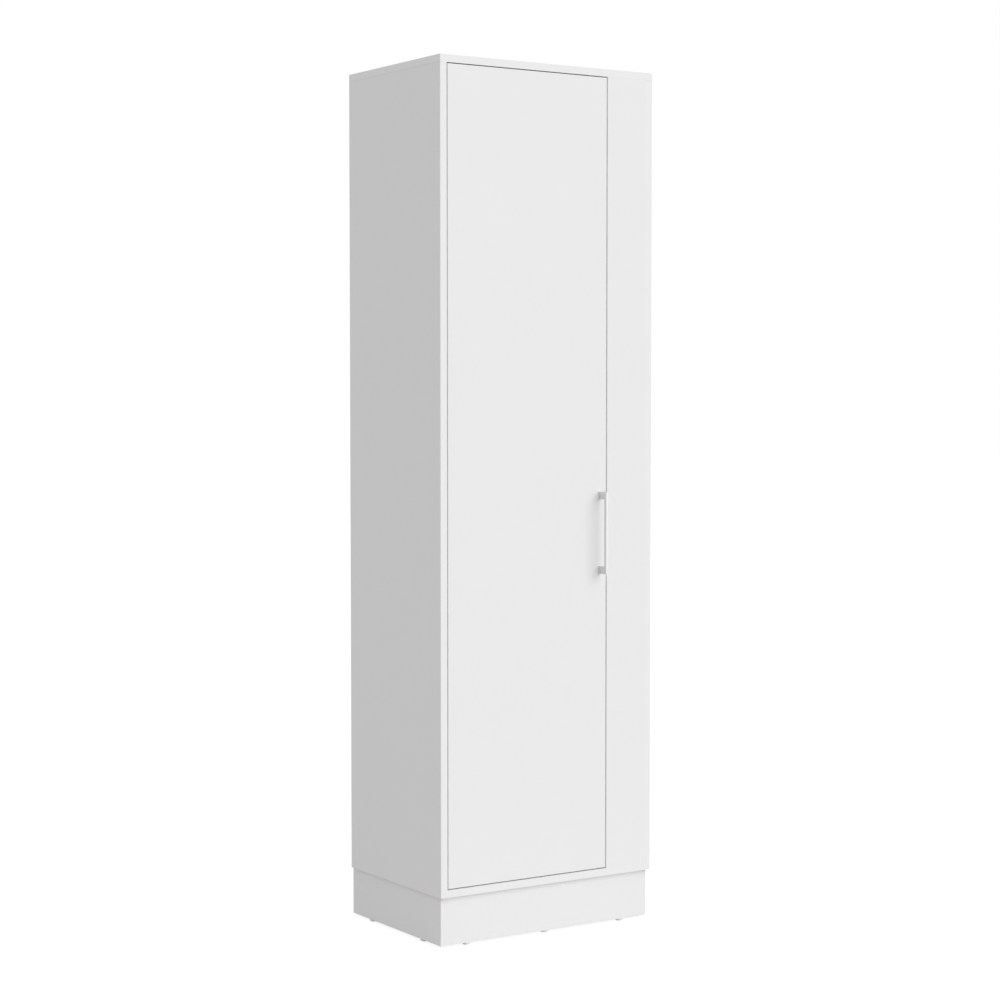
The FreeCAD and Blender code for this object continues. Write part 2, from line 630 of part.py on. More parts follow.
def tool_hooks():
    """The rail across the broom bay, and the hooks bent from flat strip on it."""
    rail = box("tool_rail_board", (BAY_WIDTH, "Sizes.BoardThickness", "Sizes.ToolRailHeight"))
    keep("tool_rail", rail, BAY_X, RAIL_Y, TOOL_RAIL_Z)
    lift = "((Sizes.ToolRailHeight - Sizes.HookPlate) / 2)"
    for number in range(1, TOOL_HOOKS + 1):
        hook = new_body(f"hook_{number}")
        section = outline(hook, f"hook_section_{number}", "YZ_Plane", hook_section())
        thicken("PartDesign::Pad", hook, f"hook_strip_{number}", section, "Sizes.HookWidth")
        reach, thick = value("Sizes.HookReach"), value("Sizes.HookThickness")
        round_edges(hook, f"hook_outer_bends_{number}", "(Sizes.HookBend + Sizes.HookThickness)",
                    lambda edge, bounds: at_corner(edge, "X", 0, 0) or at_corner(edge, "X", -reach, 0))
        round_edges(hook, f"hook_inner_bends_{number}", "Sizes.HookBend",
                    lambda edge, bounds: at_corner(edge, "X", -thick, thick) or
                    at_corner(edge, "X", thick - reach, thick))
        dress_edges("PartDesign::Chamfer", hook, f"hook_ends_{number}", "Sizes.HookCorner",
                    lambda edge, bounds: abs(edge.BoundBox.YLength - thick) < TINY and
                    edge.BoundBox.ZLength < TINY and edge.BoundBox.XLength < TINY)
        keep(f"tool_hook_{number}", hook, hook_x(number), RAIL_Y, f"({TOOL_RAIL_Z} + {lift})")


# ---- door --------------------------------------------------------------------------------

def door_panel():
    """The inset leaf: edged all round and bored for its hinge cups."""
    blank = box("door_blank", ("Sizes.DoorWidth", "Sizes.BoardThickness", DOOR_HEIGHT))
    edged = bevelled("door_edged", blank, front_and_back)
    bores = [rod(f"door_bore_{number}", "Sizes.CupRadius", "Sizes.CupDepth",
                 (CUP_X, "Sizes.BoardThickness", f"({hinge_height(number)} - {DOOR_Z})"), "-Y")
             for number in range(1, HINGES + 1)]
    keep("door_panel", cut("door_bored", edged, bores), DOOR_X, FRONT_Y, DOOR_Z)


def centred(width, depth):
    """The corners of a rectangle that is centred on x and starts at y = 0."""
    left, right = f"(-{width} / 2)", f"({width} / 2)"
    return ((left, "0"), (right, "0"), (right, depth), (left, depth))


def handle():
    """The bar and its two posts, which stand flush with the bar's ends."""
    bar = new_body("bar")
    corners = centred("Sizes.HandleBarWidth", "Sizes.HandleBarDepth")
    thicken("PartDesign::Pad", bar, "bar_length", outline(bar, "bar_section", "XY_Plane", corners), HANDLE_LENGTH)
    round_edges(bar, "bar_edges", "Sizes.HandleRounding",
                lambda edge, bounds: runs_along(edge, "Z", bounds))
    keep("handle_bar", bar, HANDLE_X, f"({FRONT_Y} - {HANDLE_REACH})", "Sizes.HandleCentre")

    for name, sign in (("lower", "-"), ("upper", "+")):
        post = new_body(f"post_{name}")
        section = outline(post, f"post_section_{name}", "XY_Plane",
                          centred("Sizes.HandleBarWidth", "Sizes.HandlePostReach"))
        thicken("PartDesign::Pad", post, f"post_height_{name}", section, "Sizes.HandlePostHeight")
        round_edges(post, f"post_edges_{name}", "Sizes.HandleRounding",
                    lambda edge, bounds: runs_along(edge, "Y", bounds))
        keep(f"handle_post_{name}", post, HANDLE_X, f"({FRONT_Y} - Sizes.HandlePostReach)",
             f"(Sizes.HandleCentre {sign} Sizes.HandleSpacing / 2)")


# ---- hinges ------------------------------------------------------------------------------

def hinge_cup(number):
    """The pressed cup in the door: bowl, flange, and the two lugs with the arm's pin.

    Its own frame is on the cup's axis at the door's inner face, and -Y goes into the door.
    """
    name = f"hinge_cup_{number}"
    outer = "(Sizes.CupRadius - Sizes.CupClearance)"
    inner = f"({outer} - Sizes.CupWall)"
    depth = "(Sizes.CupDepth - Sizes.CupClearance)"
    hollow = f"({depth} - Sizes.CupFloor)"
    pin_x = f"(Sizes.PivotInset - {CUP_X})"
    bowl = rod(name + "_bowl", outer, depth, along="-Y")
    rim = rod(name + "_rim", "(Sizes.CupRadius + Sizes.FlangeLap)", "Sizes.FlangeThickness", along="+Y")
    wings = box(name + "_wings", ("Sizes.FlangeWidth", "Sizes.FlangeThickness", "Sizes.FlangeLength"),
                ("(Sizes.FlangeOffset - Sizes.FlangeWidth / 2)", "0", "(-Sizes.FlangeLength / 2)"))
    wings = bevelled(name + "_wings_clipped", wings, lambda edge, bounds: runs_along(edge, "Y", bounds),
                     "Sizes.FlangeCorner")
    cavity = rod(name + "_cavity", inner, f"({hollow} + Sizes.FlangeThickness)",
                 ("0", "Sizes.FlangeThickness", "0"), "-Y")
    shell = cut(name + "_shell", fuse(name + "_pressing", [bowl, rim, wings]), [cavity])

    lug_low = "(Sizes.ArmWidth / 2 + Sizes.LugClearance)"
    extents = ("(Sizes.LugFront + Sizes.LugBack)", "Sizes.LugHeight", "Sizes.LugThickness")
    reach = f"({lug_low} + Sizes.LugThickness)"
    lugs = [box(f"{name}_lug_{n}", extents, (f"({pin_x} - Sizes.LugFront)", f"(-{hollow})", z))
            for n, z in enumerate((f"(-{reach})", lug_low))]
    pin = rod(name + "_pin", "Sizes.HingePinRadius", f"(2 * {reach})",
              (pin_x, "(-Sizes.PivotDepth)", f"(-{reach})"))
    keep(name, fuse(name + "_whole", [shell, pin] + lugs), f"({DOOR_X} + {CUP_X})", DOOR_BACK_Y,
         hinge_height(number))


def hinge_arm(number):
    """The goose-neck arm: eye, radial bar, quarter bend round the door's edge, and base.

    Its own frame is on the pin's axis. The bend's hollow is the circle that the door's
    inner corner draws as it swings, so the door's edge turns inside it.
    """
    name = f"hinge_arm_{number}"
    low, thick = "(-Sizes.ArmWidth / 2)", "Sizes.ArmThickness"
    outer = f"(Sizes.SweepRadius + {thick})"
    inner = "(Sizes.HingePinRadius + Sizes.RunningClearance)"
    eye = rod(name + "_eye", f"({inner} + Sizes.EyeWall)", "Sizes.ArmWidth", ("0", "0", low))
    bar = box(name + "_bar", (outer, thick, "Sizes.ArmWidth"), ("0", f"(-{thick} / 2)", low))
    bar = dressed("Part::Fillet", name + "_bar_round", bar, "Sizes.ArmHeel", lambda edge, bounds: (
        in_plane(edge, "X", bounds.XMax) and in_plane(edge, "Y", bounds.YMin)))
    quarter = bind(rod(name + "_quarter", outer, "Sizes.ArmWidth", ("0", "0", low)), Angle="90")
    sweep = rod(name + "_sweep", "Sizes.SweepRadius", "Sizes.ArmWidth", ("0", "0", low))
    bend = cut(name + "_bend", quarter, [sweep])
    base_x = "(Sizes.PlateThickness - Sizes.DoorGap - Sizes.PivotInset)"
    neck = box(name + "_neck", (f"(-{base_x})", thick, "Sizes.ArmWidth"), (base_x, "Sizes.SweepRadius", low))
    sole = box(name + "_sole", (thick, "Sizes.ArmReach", "Sizes.ArmBaseWidth"),
               (base_x, "Sizes.SweepRadius", "(-Sizes.ArmBaseWidth / 2)"))
    length = "(Sizes.ArmReach - Sizes.ArmChannelSetback)"
    levels = ("(-Sizes.ArmBaseWidth / 2)", "(Sizes.ArmBaseWidth / 2 - Sizes.ArmChannelWall)")
    walls = [box(f"{name}_wall_{n}", ("Sizes.ArmChannel", length, "Sizes.ArmChannelWall"),
                 (base_x, "(Sizes.SweepRadius + Sizes.ArmChannelSetback)", z)) for n, z in enumerate(levels)]
    whole = fuse(name + "_whole", [eye, bar, bend, neck, sole] + walls)
    bore = rod(name + "_bore", inner, "Sizes.ArmWidth", ("0", "0", low))
    keep(name, cut(name + "_bored", whole, [bore]), HINGE_X, HINGE_Y, hinge_height(number))


def hinge_plate(number):
    """The cross-shaped mounting plate on the left side, under the arm."""
    name = f"hinge_plate_{number}"
    spine = box(name + "_spine", ("Sizes.PlateThickness", "Sizes.PlateLength", "Sizes.PlateWidth"),
                ("0", "(-Sizes.PlateLength / 2)", "(-Sizes.PlateWidth / 2)"))
    wings = box(name + "_wings", ("Sizes.PlateWingThickness", "Sizes.PlateWingLength", "Sizes.PlateHeight"),
                ("0", "(-Sizes.PlateWingLength / 2)", "(-Sizes.PlateHeight / 2)"))
    wings = bevelled(name + "_wings_clipped", wings, lambda edge, bounds: runs_along(edge, "X", bounds),
                     "Sizes.PlateCorner")
    keep(name, fuse(name + "_cross", [spine, wings]), f"(-{INNER_X})", f"({FRONT_Y} + Sizes.PlateSetback)",
         hinge_height(number))


# ---- the whole ------------------------------------------------------------------------------

def check_document():
    """Stop unless every object is computed and every piece is one or more valid solids."""
    doc.recompute()
    failed = [item.Name for item in doc.Objects if "Invalid" in item.State or "Error" in item.State]
    if failed:
        raise RuntimeError(f"objects in error: {failed}")
    for piece in pieces:
        shape = piece.Shape
        if shape.isNull() or not shape.isValid() or not shape.Solids:
            raise RuntimeError(f"{piece.Label} is not a valid solid")


def export_pieces():
    """Write each piece to its own STEP file."""
    os.makedirs("parts", exist_ok=True)
    for piece in pieces:
        piece.Shape.exportStep(f"parts/{piece.Label}.step")


def build():
    """Model the whole cupboard."""
    write_sizes()
    side_panel("left")
    side_panel("right")
    top_panel()
    bottom_panel()
    fixed_front()
    backs()
    wall_rail()
    plinth()
    nail_glides()
    shelves()
    shelf_supports()
    tool_hooks()
    door_panel()
    handle()
    for number in range(1, HINGES + 1):
        hinge_cup(number)
        hinge_arm(number)
        hinge_plate(number)
    check_document()
    export_pieces()


build()
print(f"{len(pieces)} pieces")
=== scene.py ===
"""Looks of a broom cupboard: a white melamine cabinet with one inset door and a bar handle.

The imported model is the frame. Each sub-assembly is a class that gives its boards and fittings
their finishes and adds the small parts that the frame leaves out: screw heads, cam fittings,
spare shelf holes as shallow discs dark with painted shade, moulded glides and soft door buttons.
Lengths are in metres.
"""

import logging
import math
from abc import ABC, abstractmethod
from dataclasses import dataclass
from enum import Enum
from typing import Iterable, Optional, Sequence, Union

import bmesh
import bpy
from mathutils import Matrix, Vector


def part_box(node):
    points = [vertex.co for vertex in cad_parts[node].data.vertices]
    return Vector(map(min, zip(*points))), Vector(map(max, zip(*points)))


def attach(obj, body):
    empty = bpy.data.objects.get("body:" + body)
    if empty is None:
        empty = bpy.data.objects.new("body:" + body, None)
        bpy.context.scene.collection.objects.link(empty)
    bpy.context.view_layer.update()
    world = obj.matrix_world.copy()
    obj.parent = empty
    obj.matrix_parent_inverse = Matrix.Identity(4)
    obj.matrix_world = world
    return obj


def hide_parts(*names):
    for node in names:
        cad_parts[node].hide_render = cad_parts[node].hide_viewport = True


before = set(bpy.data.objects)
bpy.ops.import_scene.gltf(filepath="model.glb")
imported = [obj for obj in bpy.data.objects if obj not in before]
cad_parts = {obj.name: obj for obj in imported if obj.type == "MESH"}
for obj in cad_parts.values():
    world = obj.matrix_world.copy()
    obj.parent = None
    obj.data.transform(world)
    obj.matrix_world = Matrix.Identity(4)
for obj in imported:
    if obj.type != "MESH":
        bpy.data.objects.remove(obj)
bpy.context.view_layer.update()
log = logging.getLogger("broom_cupboard")

Colour = tuple[float, float, float]
Point = tuple[float, float, float]
MM = 0.001
SAME_WAY = 0.9  # cosine from which a face looks in a direction
EDGE_ON = 0.5  # cosine up to which a board's face is one of its edges
SHARP_FROM = 34.0  # degrees from which an edge stays sharp
WELDED = 1e-7  # metres up to which two points are one
CROWN = (0.0, 0.2, 0.45, 0.8, 1.15)  # radians along a screw head's crown


def grey(level: float) -> Colour:
    """A colour with three equal parts."""
    return level, level, level


# ---- shader expressions ----


class Wire:
    """An output socket that Python's operators can calculate with."""

    def __init__(self, tree: "Tree", socket: bpy.types.NodeSocket) -> None:
        """Wrap a socket.

        Args:
            tree: The tree that the socket's node belongs to.
            socket: The output socket.
        """
        self.tree = tree
        self.socket = socket

    def _math(self, operation: str, *values: "Value") -> "Wire":
        """Add a Math node on values in their order."""
        inputs = dict(enumerate(values))
        return self.tree.add("ShaderNodeMath", {"operation": operation}, inputs)

    def __add__(self, other: "Value") -> "Wire":
        """Sum of this and another value."""
        return self._math("ADD", self, other)

    def __radd__(self, other: "Value") -> "Wire":
        """Sum of a number and this."""
        return self._math("ADD", other, self)

    def __sub__(self, other: "Value") -> "Wire":
        """This less another value."""
        return self._math("SUBTRACT", self, other)

    def __rsub__(self, other: "Value") -> "Wire":
        """A number less this."""
        return self._math("SUBTRACT", other, self)

    def __mul__(self, other: "Value") -> "Wire":
        """Product of this and another value."""
        return self._math("MULTIPLY", self, other)

    def __rmul__(self, other: "Value") -> "Wire":
        """Product of a number and this."""
        return self._math("MULTIPLY", other, self)

    def __abs__(self) -> "Wire":
        """Size of this without its sign."""
        return self._math("ABSOLUTE", self)

    def __gt__(self, other: "Value") -> "Wire":
        """One where this is greater, otherwise zero."""
        return self._math("GREATER_THAN", self, other)

    def __lt__(self, other: "Value") -> "Wire":
        """One where this is less, otherwise zero."""
        return self._math("LESS_THAN", self, other)

    def __or__(self, other: "Value") -> "Wire":
        """The greater of two masks."""
        return self._math("MAXIMUM", self, other)


Value = Union[Wire, float]
Input = Union[Wire, float, Sequence[float]]
Key = Union[str, int]


class Tree:
    """A node tree that is filled one node at a time."""

    def __init__(self, nodes: bpy.types.NodeTree) -> None:
        """Start from an empty tree.

        Args:
            nodes: The node tree of a material or of the world.
        """
        self.nodes = nodes
        self.nodes.nodes.clear()

    @staticmethod
    def find(sockets: Sequence[bpy.types.NodeSocket], key: Key) -> bpy.types.NodeSocket:
        """Find a socket.

        Args:
            sockets: The inputs or outputs of a node.
            key: The socket's number, or its name among those in use.

        Returns:
            The socket.
        """
        if isinstance(key, int):
            return sockets[key]
        return next(socket for socket in sockets if socket.enabled and socket.name == key)

    def add(
        self,
        kind: str,
        settings: Optional[dict] = None,
        inputs: Optional[dict[Key, Input]] = None,
        output: Key = 0,
    ) -> Optional[Wire]:
        """Add a node, set it, feed it, and hand back one of its outputs.

        Args:
            kind: The node's type.
            settings: The node's own properties; "stops" are the stops of a colour ramp.
            inputs: Numbers, colours or wires by socket.
            output: The output to hand back.

        Returns:
            The chosen output as a wire, or nothing from a node without outputs.
        """
        node = self.nodes.nodes.new(kind)
        for name, setting in (settings or {}).items():
            if name == "stops":
                self.set_stops(node.color_ramp, setting)
            else:
                setattr(node, name, setting)
        for key, value in (inputs or {}).items():
            socket = self.find(node.inputs, key)
            if isinstance(value, Wire):
                self.nodes.links.new(value.socket, socket)
            elif socket.type == "RGBA":
                socket.default_value = (*value, 1.0)
            else:
                socket.default_value = value
        return Wire(self, self.find(node.outputs, output)) if len(node.outputs) else None

    @staticmethod
    def set_stops(ramp: bpy.types.ColorRamp, stops: Sequence[tuple[float, Colour]]) -> None:
        """Give a colour ramp its stops.

        Args:
            ramp: The ramp.
            stops: Position and colour of each stop, in rising order.
        """
        while len(ramp.elements) < len(stops):
            ramp.elements.new(1.0)
        for element, (position, colour) in zip(ramp.elements, stops):
            element.position = position
            element.color = (*colour, 1.0)

    def mix(self, factor: Value, first: Input, second: Input) -> Wire:
        """Blend from a first colour, at a factor of zero, to a second one."""
        inputs = {"Factor": factor, "A": first, "B": second}
        return self.add("ShaderNodeMix", {"data_type": "RGBA"}, inputs, "Result")

    def stretch(self, vector: Wire, factors: Point) -> Wire:
        """Scale a vector along its axes."""
        inputs = {0: vector, 1: factors}
        return self.add("ShaderNodeVectorMath", {"operation": "MULTIPLY"}, inputs)

    def along(self, vector: Wire, direction: Point) -> Wire:
        """How far a vector goes in a direction."""
        inputs = {0: vector, 1: direction}
        return self.add("ShaderNodeVectorMath", {"operation": "DOT_PRODUCT"}, inputs, "Value")

    def part(self, vector: Wire, axis: str) -> Wire:
        """One of a vector's three numbers, by its letter."""
        return self.add("ShaderNodeSeparateXYZ", inputs={0: vector}, output=axis)

    def noise(self, vector: Wire, scale: float, detail: float = 2.0) -> Wire:
        """Soft noise, from about 0 to 1, of so many spots to the metre."""
        inputs = {"Vector": vector, "Scale": scale, "Detail": detail}
        return self.add("ShaderNodeTexNoise", inputs=inputs)

    def place(self) -> Wire:
        """Where a surface point is on its own object."""
        return self.add("ShaderNodeTexCoord", output="Object")

    def facing(self) -> Wire:
        """Which way a surface point faces on its own object."""
        return self.add("ShaderNodeTexCoord", output="Normal")

    def bump(self, height: Value, depth: float, strength: float = 1.0) -> Wire:
        """A normal that follows a height from 0 to 1, where 1 stands for a depth in metres."""
        inputs = {"Height": height, "Distance": depth, "Strength": strength}
        return self.add("ShaderNodeBump", inputs=inputs)


class Outward(Enum):
    """A direction that a face or a fitting looks in."""

    RIGHT = (1.0, 0.0, 0.0)
    LEFT = (-1.0, 0.0, 0.0)
    BACK = (0.0, 1.0, 0.0)
    FRONT = (0.0, -1.0, 0.0)
    UP = (0.0, 0.0, 1.0)
    DOWN = (0.0, 0.0, -1.0)

    def at(self, point: Sequence[float], spin: float = 0.0) -> Matrix:
        """The placement of a fitting that stands on a point.

        Args:
            point: Where it stands.
            spin: Turn about its own axis, in degrees.

        Returns:
            The matrix that takes it there from the origin, where it looks up.
        """
        turn = Vector(self.UP.value).rotation_difference(Vector(self.value)).to_matrix().to_4x4()
        return Matrix.Translation(point) @ turn @ Matrix.Rotation(math.radians(spin), 4, "Z")

    def mask(self, tree: Tree) -> Wire:
        """One on faces that look this way."""
        return tree.along(tree.facing(), self.value) > SAME_WAY


# ---- finishes ----


@dataclass(frozen=True)
class Finish(ABC):
    """A surface finish, from which one material is made.

    Attributes:
        name: Name of the material.
        slot: The record's material slot; not used.
        colour: Base colour, linear.
        roughness: Middle value of the roughness.
    """

    name: str
    slot: str
    colour: Colour
    roughness: float

    def material(self) -> bpy.types.Material:
        """Make the finish's material, or find the one made before.

        Returns:
            The material.
        """
        found = bpy.data.materials.get(self.name)
        if found is not None:
            return found
        made = bpy.data.materials.new(self.name)
        made.use_nodes = True
        made.diffuse_color = (*self.colour, 1.0)
        tree = Tree(made.node_tree)
        shader = tree.add("ShaderNodeBsdfPrincipled", inputs=self.surface(tree))
        tree.add("ShaderNodeOutputMaterial", inputs={"Surface": shader})
        return made

    @abstractmethod
    def surface(self, tree: Tree) -> dict[str, Input]:
        """Inputs of the surface shader, by name."""

    def shade(self, factor: float) -> Colour:
        """The base colour, darker or lighter."""
        red, green, blue = (min(part * factor, 1.0) for part in self.colour)
        return red, green, blue

    def between(self, tree: Tree, factor: Value, shades: tuple[float, float]) -> Wire:
        """The base colour between its darkest shade, at a factor of zero, and its lightest."""
        darkest, lightest = (self.shade(shade) for shade in shades)
        return tree.mix(factor, darkest, lightest)


@dataclass(frozen=True)
class Chipboard(Finish):
    """The pressed core of a board, bare where no edging covers it.

    Attributes:
        chips: Chips to the metre.
        dust: Spots of the fine dust between them to the metre.
        depth: Depth of the pits between chips.
        chip_share: Share of the chips in the mix of chips and dust.
        tones: Place of a tone in that mix, and its shade.
    """

    chips: float = 520.0
    dust: float = 2600.0
    depth: float = 0.12 * MM
    chip_share: float = 0.62
    tones: tuple[tuple[float, float], ...] = ((0.2, 0.55), (0.42, 0.9), (0.62, 1.0), (0.85, 1.35))

    def grain(self, tree: Tree) -> tuple[Wire, Wire]:
        """Lay the chips.

        Args:
            tree: The material's tree.

        Returns:
            The colour of the chips, and their height from 0 to 1.
        """
        place = tree.place()
        inputs = {"Vector": place, "Scale": self.chips}
        tone = tree.part(tree.add("ShaderNodeTexVoronoi", inputs=inputs, output="Color"), "X")
        dust = tree.noise(place, self.dust, detail=3.0)
        mixed = self.chip_share * tone + (1.0 - self.chip_share) * dust
        stops = [(position, self.shade(factor)) for position, factor in self.tones]
        return tree.add("ShaderNodeValToRGB", {"stops": stops}, {"Fac": mixed}, "Color"), mixed

    def surface(self, tree: Tree) -> dict[str, Input]:
        """Dull chips of several browns.

        Args:
            tree: The material's tree.

        Returns:
            Inputs of the surface shader, by name.
        """
        colour, height = self.grain(tree)
        grit = 0.08
        return {
            "Base Color": colour,
            "Roughness": self.roughness + grit * height,
            "Specular IOR Level": 0.15,
            "Normal": tree.bump(height, self.depth, strength=0.6),
        }


class Facing(Enum):
    """The axis that a board's decor faces look along."""

    ACROSS = "X"
    FORWARD = "Y"
    UP = "Z"


@dataclass(frozen=True)
class Melamine(Finish):
    """White decor paper with a fine pearl, plastic edging, and bare core where none is seen.

    Attributes:
        slot: The record's slot of the white boards; not used.
        colour: White of the decor, linear.
        roughness: Middle value of the decor's roughness.
        facing: The axis of the decor faces; the other faces carry edging.
        bare: Directions of the edges that are left bare.
        joint: Height of the hairline where this board meets another one, or zero.
        pearl: Pearls to the metre.
        pearl_depth: Height of the pearl.
        clouds: Clouds of the paper to the metre.
        rubbed: Rubbed patches to the metre.
        paper: Darkest and lightest shade of the paper.
        edging: Shade of the edging, and its share over the paper's.
        hairline: Half the width of the hairline at the joint.
        dark: Shade of the hairline, and its share.
    """

    slot: str = "melamine"
    colour: Colour = (0.858, 0.858, 0.857)
    roughness: float = 0.56
    facing: Facing = Facing.FORWARD
    bare: tuple[Outward, ...] = ()
    joint: float = 0.0
    pearl: float = 620.0
    pearl_depth: float = 0.24 * MM
    clouds: float = 9.0
    rubbed: float = 26.0
    paper: tuple[float, float] = (0.982, 1.014)
    edging: tuple[float, float] = (1.012, 0.6)
    hairline: float = 0.35 * MM
    dark: tuple[float, float] = (0.4, 0.25)

    def surface(self, tree: Tree) -> dict[str, Input]:
        """Pearl, faint clouds of the paper and the edging's own gloss.

        Args:
            tree: The material's tree.

        Returns:
            Inputs of the surface shader, by name.
        """
        place = tree.place()
        edging = abs(tree.part(tree.facing(), self.facing.value)) < EDGE_ON
        pearl = tree.noise(place, self.pearl)
        clouds = tree.noise(place, self.clouds, detail=3.0)
        colour = self.between(tree, 0.6 * clouds + 0.4 * pearl, self.paper)
        shade, share = self.edging
        colour = tree.mix(edging * share, colour, self.shade(shade))
        if self.joint:
            hairline = abs(tree.part(place, "Z") - self.joint) < self.hairline
            shade, share = self.dark
            colour = tree.mix(hairline * share, colour, self.shade(shade))
        upright = (1.0, 1.0, 0.35)
        rubbed = tree.noise(tree.stretch(place, upright), self.rubbed, detail=4.0)
        wear, grit, gloss, flatness = 0.07, 0.05, 0.07, 0.8
        roughness = self.roughness - grit + wear * rubbed + grit * pearl - gloss * edging
        height = pearl * (1.0 - flatness * edging)
        for direction in self.bare:
            core, chips = CORE.grain(tree)
            mask = direction.mask(tree)
            colour = tree.mix(mask, colour, core)
            roughness = roughness + mask * (CORE.roughness - self.roughness)
            height = height + mask * chips
        return {
            "Base Color": colour,
            "Roughness": roughness,
            "Specular IOR Level": 0.3,
            "Normal": tree.bump(height, self.pearl_depth, strength=0.8),
        }


@dataclass(frozen=True)
class Hardboard(Finish):
    """Thin fibreboard: lacquered towards the room, bare and brown at the back.

    Attributes:
        bare: Colour of the bare fibres.
        fibres: Fibres to the metre.
        peel: Spots of the lacquer's orange peel to the metre.
        patches: Patches of tone to the metre.
        depth: Depth of the peel and of the fibres.
        paint: Darkest and lightest shade of the lacquer.
        tones: Place of a tone among the fibres, and its shares of their colour.
    """

    bare: Colour = (0.33, 0.205, 0.11)
    fibres: float = 260.0
    peel: float = 170.0
    patches: float = 14.0
    depth: float = 0.1 * MM
    paint: tuple[float, float] = (0.985, 1.005)
    tones: tuple[tuple[float, Colour], ...] = (
        (0.25, (0.6, 0.56, 0.52)),
        (0.5, (1.0, 1.0, 1.0)),
        (0.72, (1.35, 1.35, 1.4)),
    )

    def surface(self, tree: Tree) -> dict[str, Input]:
        """Orange peel of the lacquer, and the matted fibres of the bare side.

        Args:
            tree: The material's tree.

        Returns:
            Inputs of the surface shader, by name.
        """
        place = tree.place()
        rear = Outward.BACK.mask(tree)
        peel = tree.noise(place, self.peel, detail=1.0)
        level = (1.0, 1.0, 3.2)
        fibres = tree.noise(tree.stretch(place, level), self.fibres, detail=6.0)
        patches = tree.noise(place, self.patches, detail=4.0)
        stops = [(position, tuple(part * factor for part, factor in zip(self.bare, factors)))
                 for position, factors in self.tones]
        inputs = {"Fac": 0.75 * fibres + 0.25 * patches}
        brown = tree.add("ShaderNodeValToRGB", {"stops": stops}, inputs, "Color")
        white = self.between(tree, patches, self.paint)
        wave, dull, fuzz = 0.05, 0.26, 0.1
        height = peel * (1.0 - rear) + fibres * rear
        return {
            "Base Color": tree.mix(rear, white, brown),
            "Roughness": self.roughness + wave * peel + rear * (dull + fuzz * fibres),
            "Normal": tree.bump(height, self.depth, strength=0.5),
        }


@dataclass(frozen=True)
class BrushedMetal(Finish):
    """Satin metal with fine lines in one direction.

    Attributes:
        lines: Spots to the metre along each axis; the smallest one is the lines' direction.
        depth: Depth of the lines.
        drift: Slow changes of the gloss to the metre.
        tints: Darkest and lightest shade of the metal.
    """

    lines: Point = (2600.0, 2600.0, 30.0)
    depth: float = 0.01 * MM
    drift: float = 40.0
    tints: tuple[float, float] = (0.94, 1.05)

    def surface(self, tree: Tree) -> dict[str, Input]:
        """Brushed lines, and a slow drift of the gloss.

        Args:
            tree: The material's tree.

        Returns:
            Inputs of the surface shader, by name.
        """
        place = tree.place()
        lines = tree.noise(tree.stretch(place, self.lines), scale=1.0, detail=3.0)
        drift = tree.noise(place, self.drift)
        streak, haze = 0.08, 0.05
        return {
            "Base Color": self.between(tree, 0.5 * lines + 0.2 * drift, self.tints),
            "Roughness": self.roughness - haze + streak * lines + haze * drift,
            "Metallic": 1.0,
            "Normal": tree.bump(lines, self.depth, strength=0.35),
        }


@dataclass(frozen=True)
class PlatedSteel(Finish):
    """Pressed and plated steel: a soft rolled surface with handling marks.

    Attributes:
        cast: Second tint that the plating drifts to.
        grain: Spots of the rolled texture to the metre.
        drift: Slow changes of tint and gloss to the metre.
        depth: Depth of the grain.
    """

    cast: Colour = (0.56, 0.545, 0.52)
    grain: float = 900.0
    drift: float = 120.0
    depth: float = 0.012 * MM

    def surface(self, tree: Tree) -> dict[str, Input]:
        """Tint and gloss that drift over the plating, and its grain.

        Args:
            tree: The material's tree.

        Returns:
            Inputs of the surface shader, by name.
        """
        place = tree.place()
        grain = tree.noise(place, self.grain)
        drift = tree.noise(place, self.drift, detail=3.0)
        haze, grit = 0.12, 0.06
        return {
            "Base Color": tree.mix(drift, self.colour, self.cast),
            "Roughness": self.roughness - grit + haze * drift + grit * grain,
            "Metallic": 1.0,
            "Normal": tree.bump(grain, self.depth, strength=0.4),
        }


@dataclass(frozen=True)
class MouldedPlastic(Finish):
    """Moulded or extruded plastic with a spark-eroded grain.

    Attributes:
        grain: Spots of the grain to the metre.
        soft: Share of light that the surface lets in, as rubber or clear plastic does.
        flow: Flow marks to the metre.
        depth: Depth of the grain.
        tints: Darkest and lightest shade of the plastic.
    """

    grain: float = 1400.0
    soft: float = 0.0
    flow: float = 70.0
    depth: float = 0.02 * MM
    tints: tuple[float, float] = (0.96, 1.03)

    def surface(self, tree: Tree) -> dict[str, Input]:
        """Fine grain and faint flow marks.

        Args:
            tree: The material's tree.

        Returns:
            Inputs of the surface shader, by name.
        """
        place = tree.place()
        grain = tree.noise(place, self.grain, detail=1.0)
        flow = tree.noise(place, self.flow, detail=3.0)
        grit, haze = 0.07, 0.04
        return {
            "Base Color": self.between(tree, flow, self.tints),
            "Roughness": self.roughness + grit * grain + haze * flow,
            "Subsurface Weight": self.soft,
            "Subsurface Radius": (1.0, 0.9, 0.8),
            "Subsurface Scale": 1.2 * MM,
            "Normal": tree.bump(grain, self.depth, strength=0.4),
        }


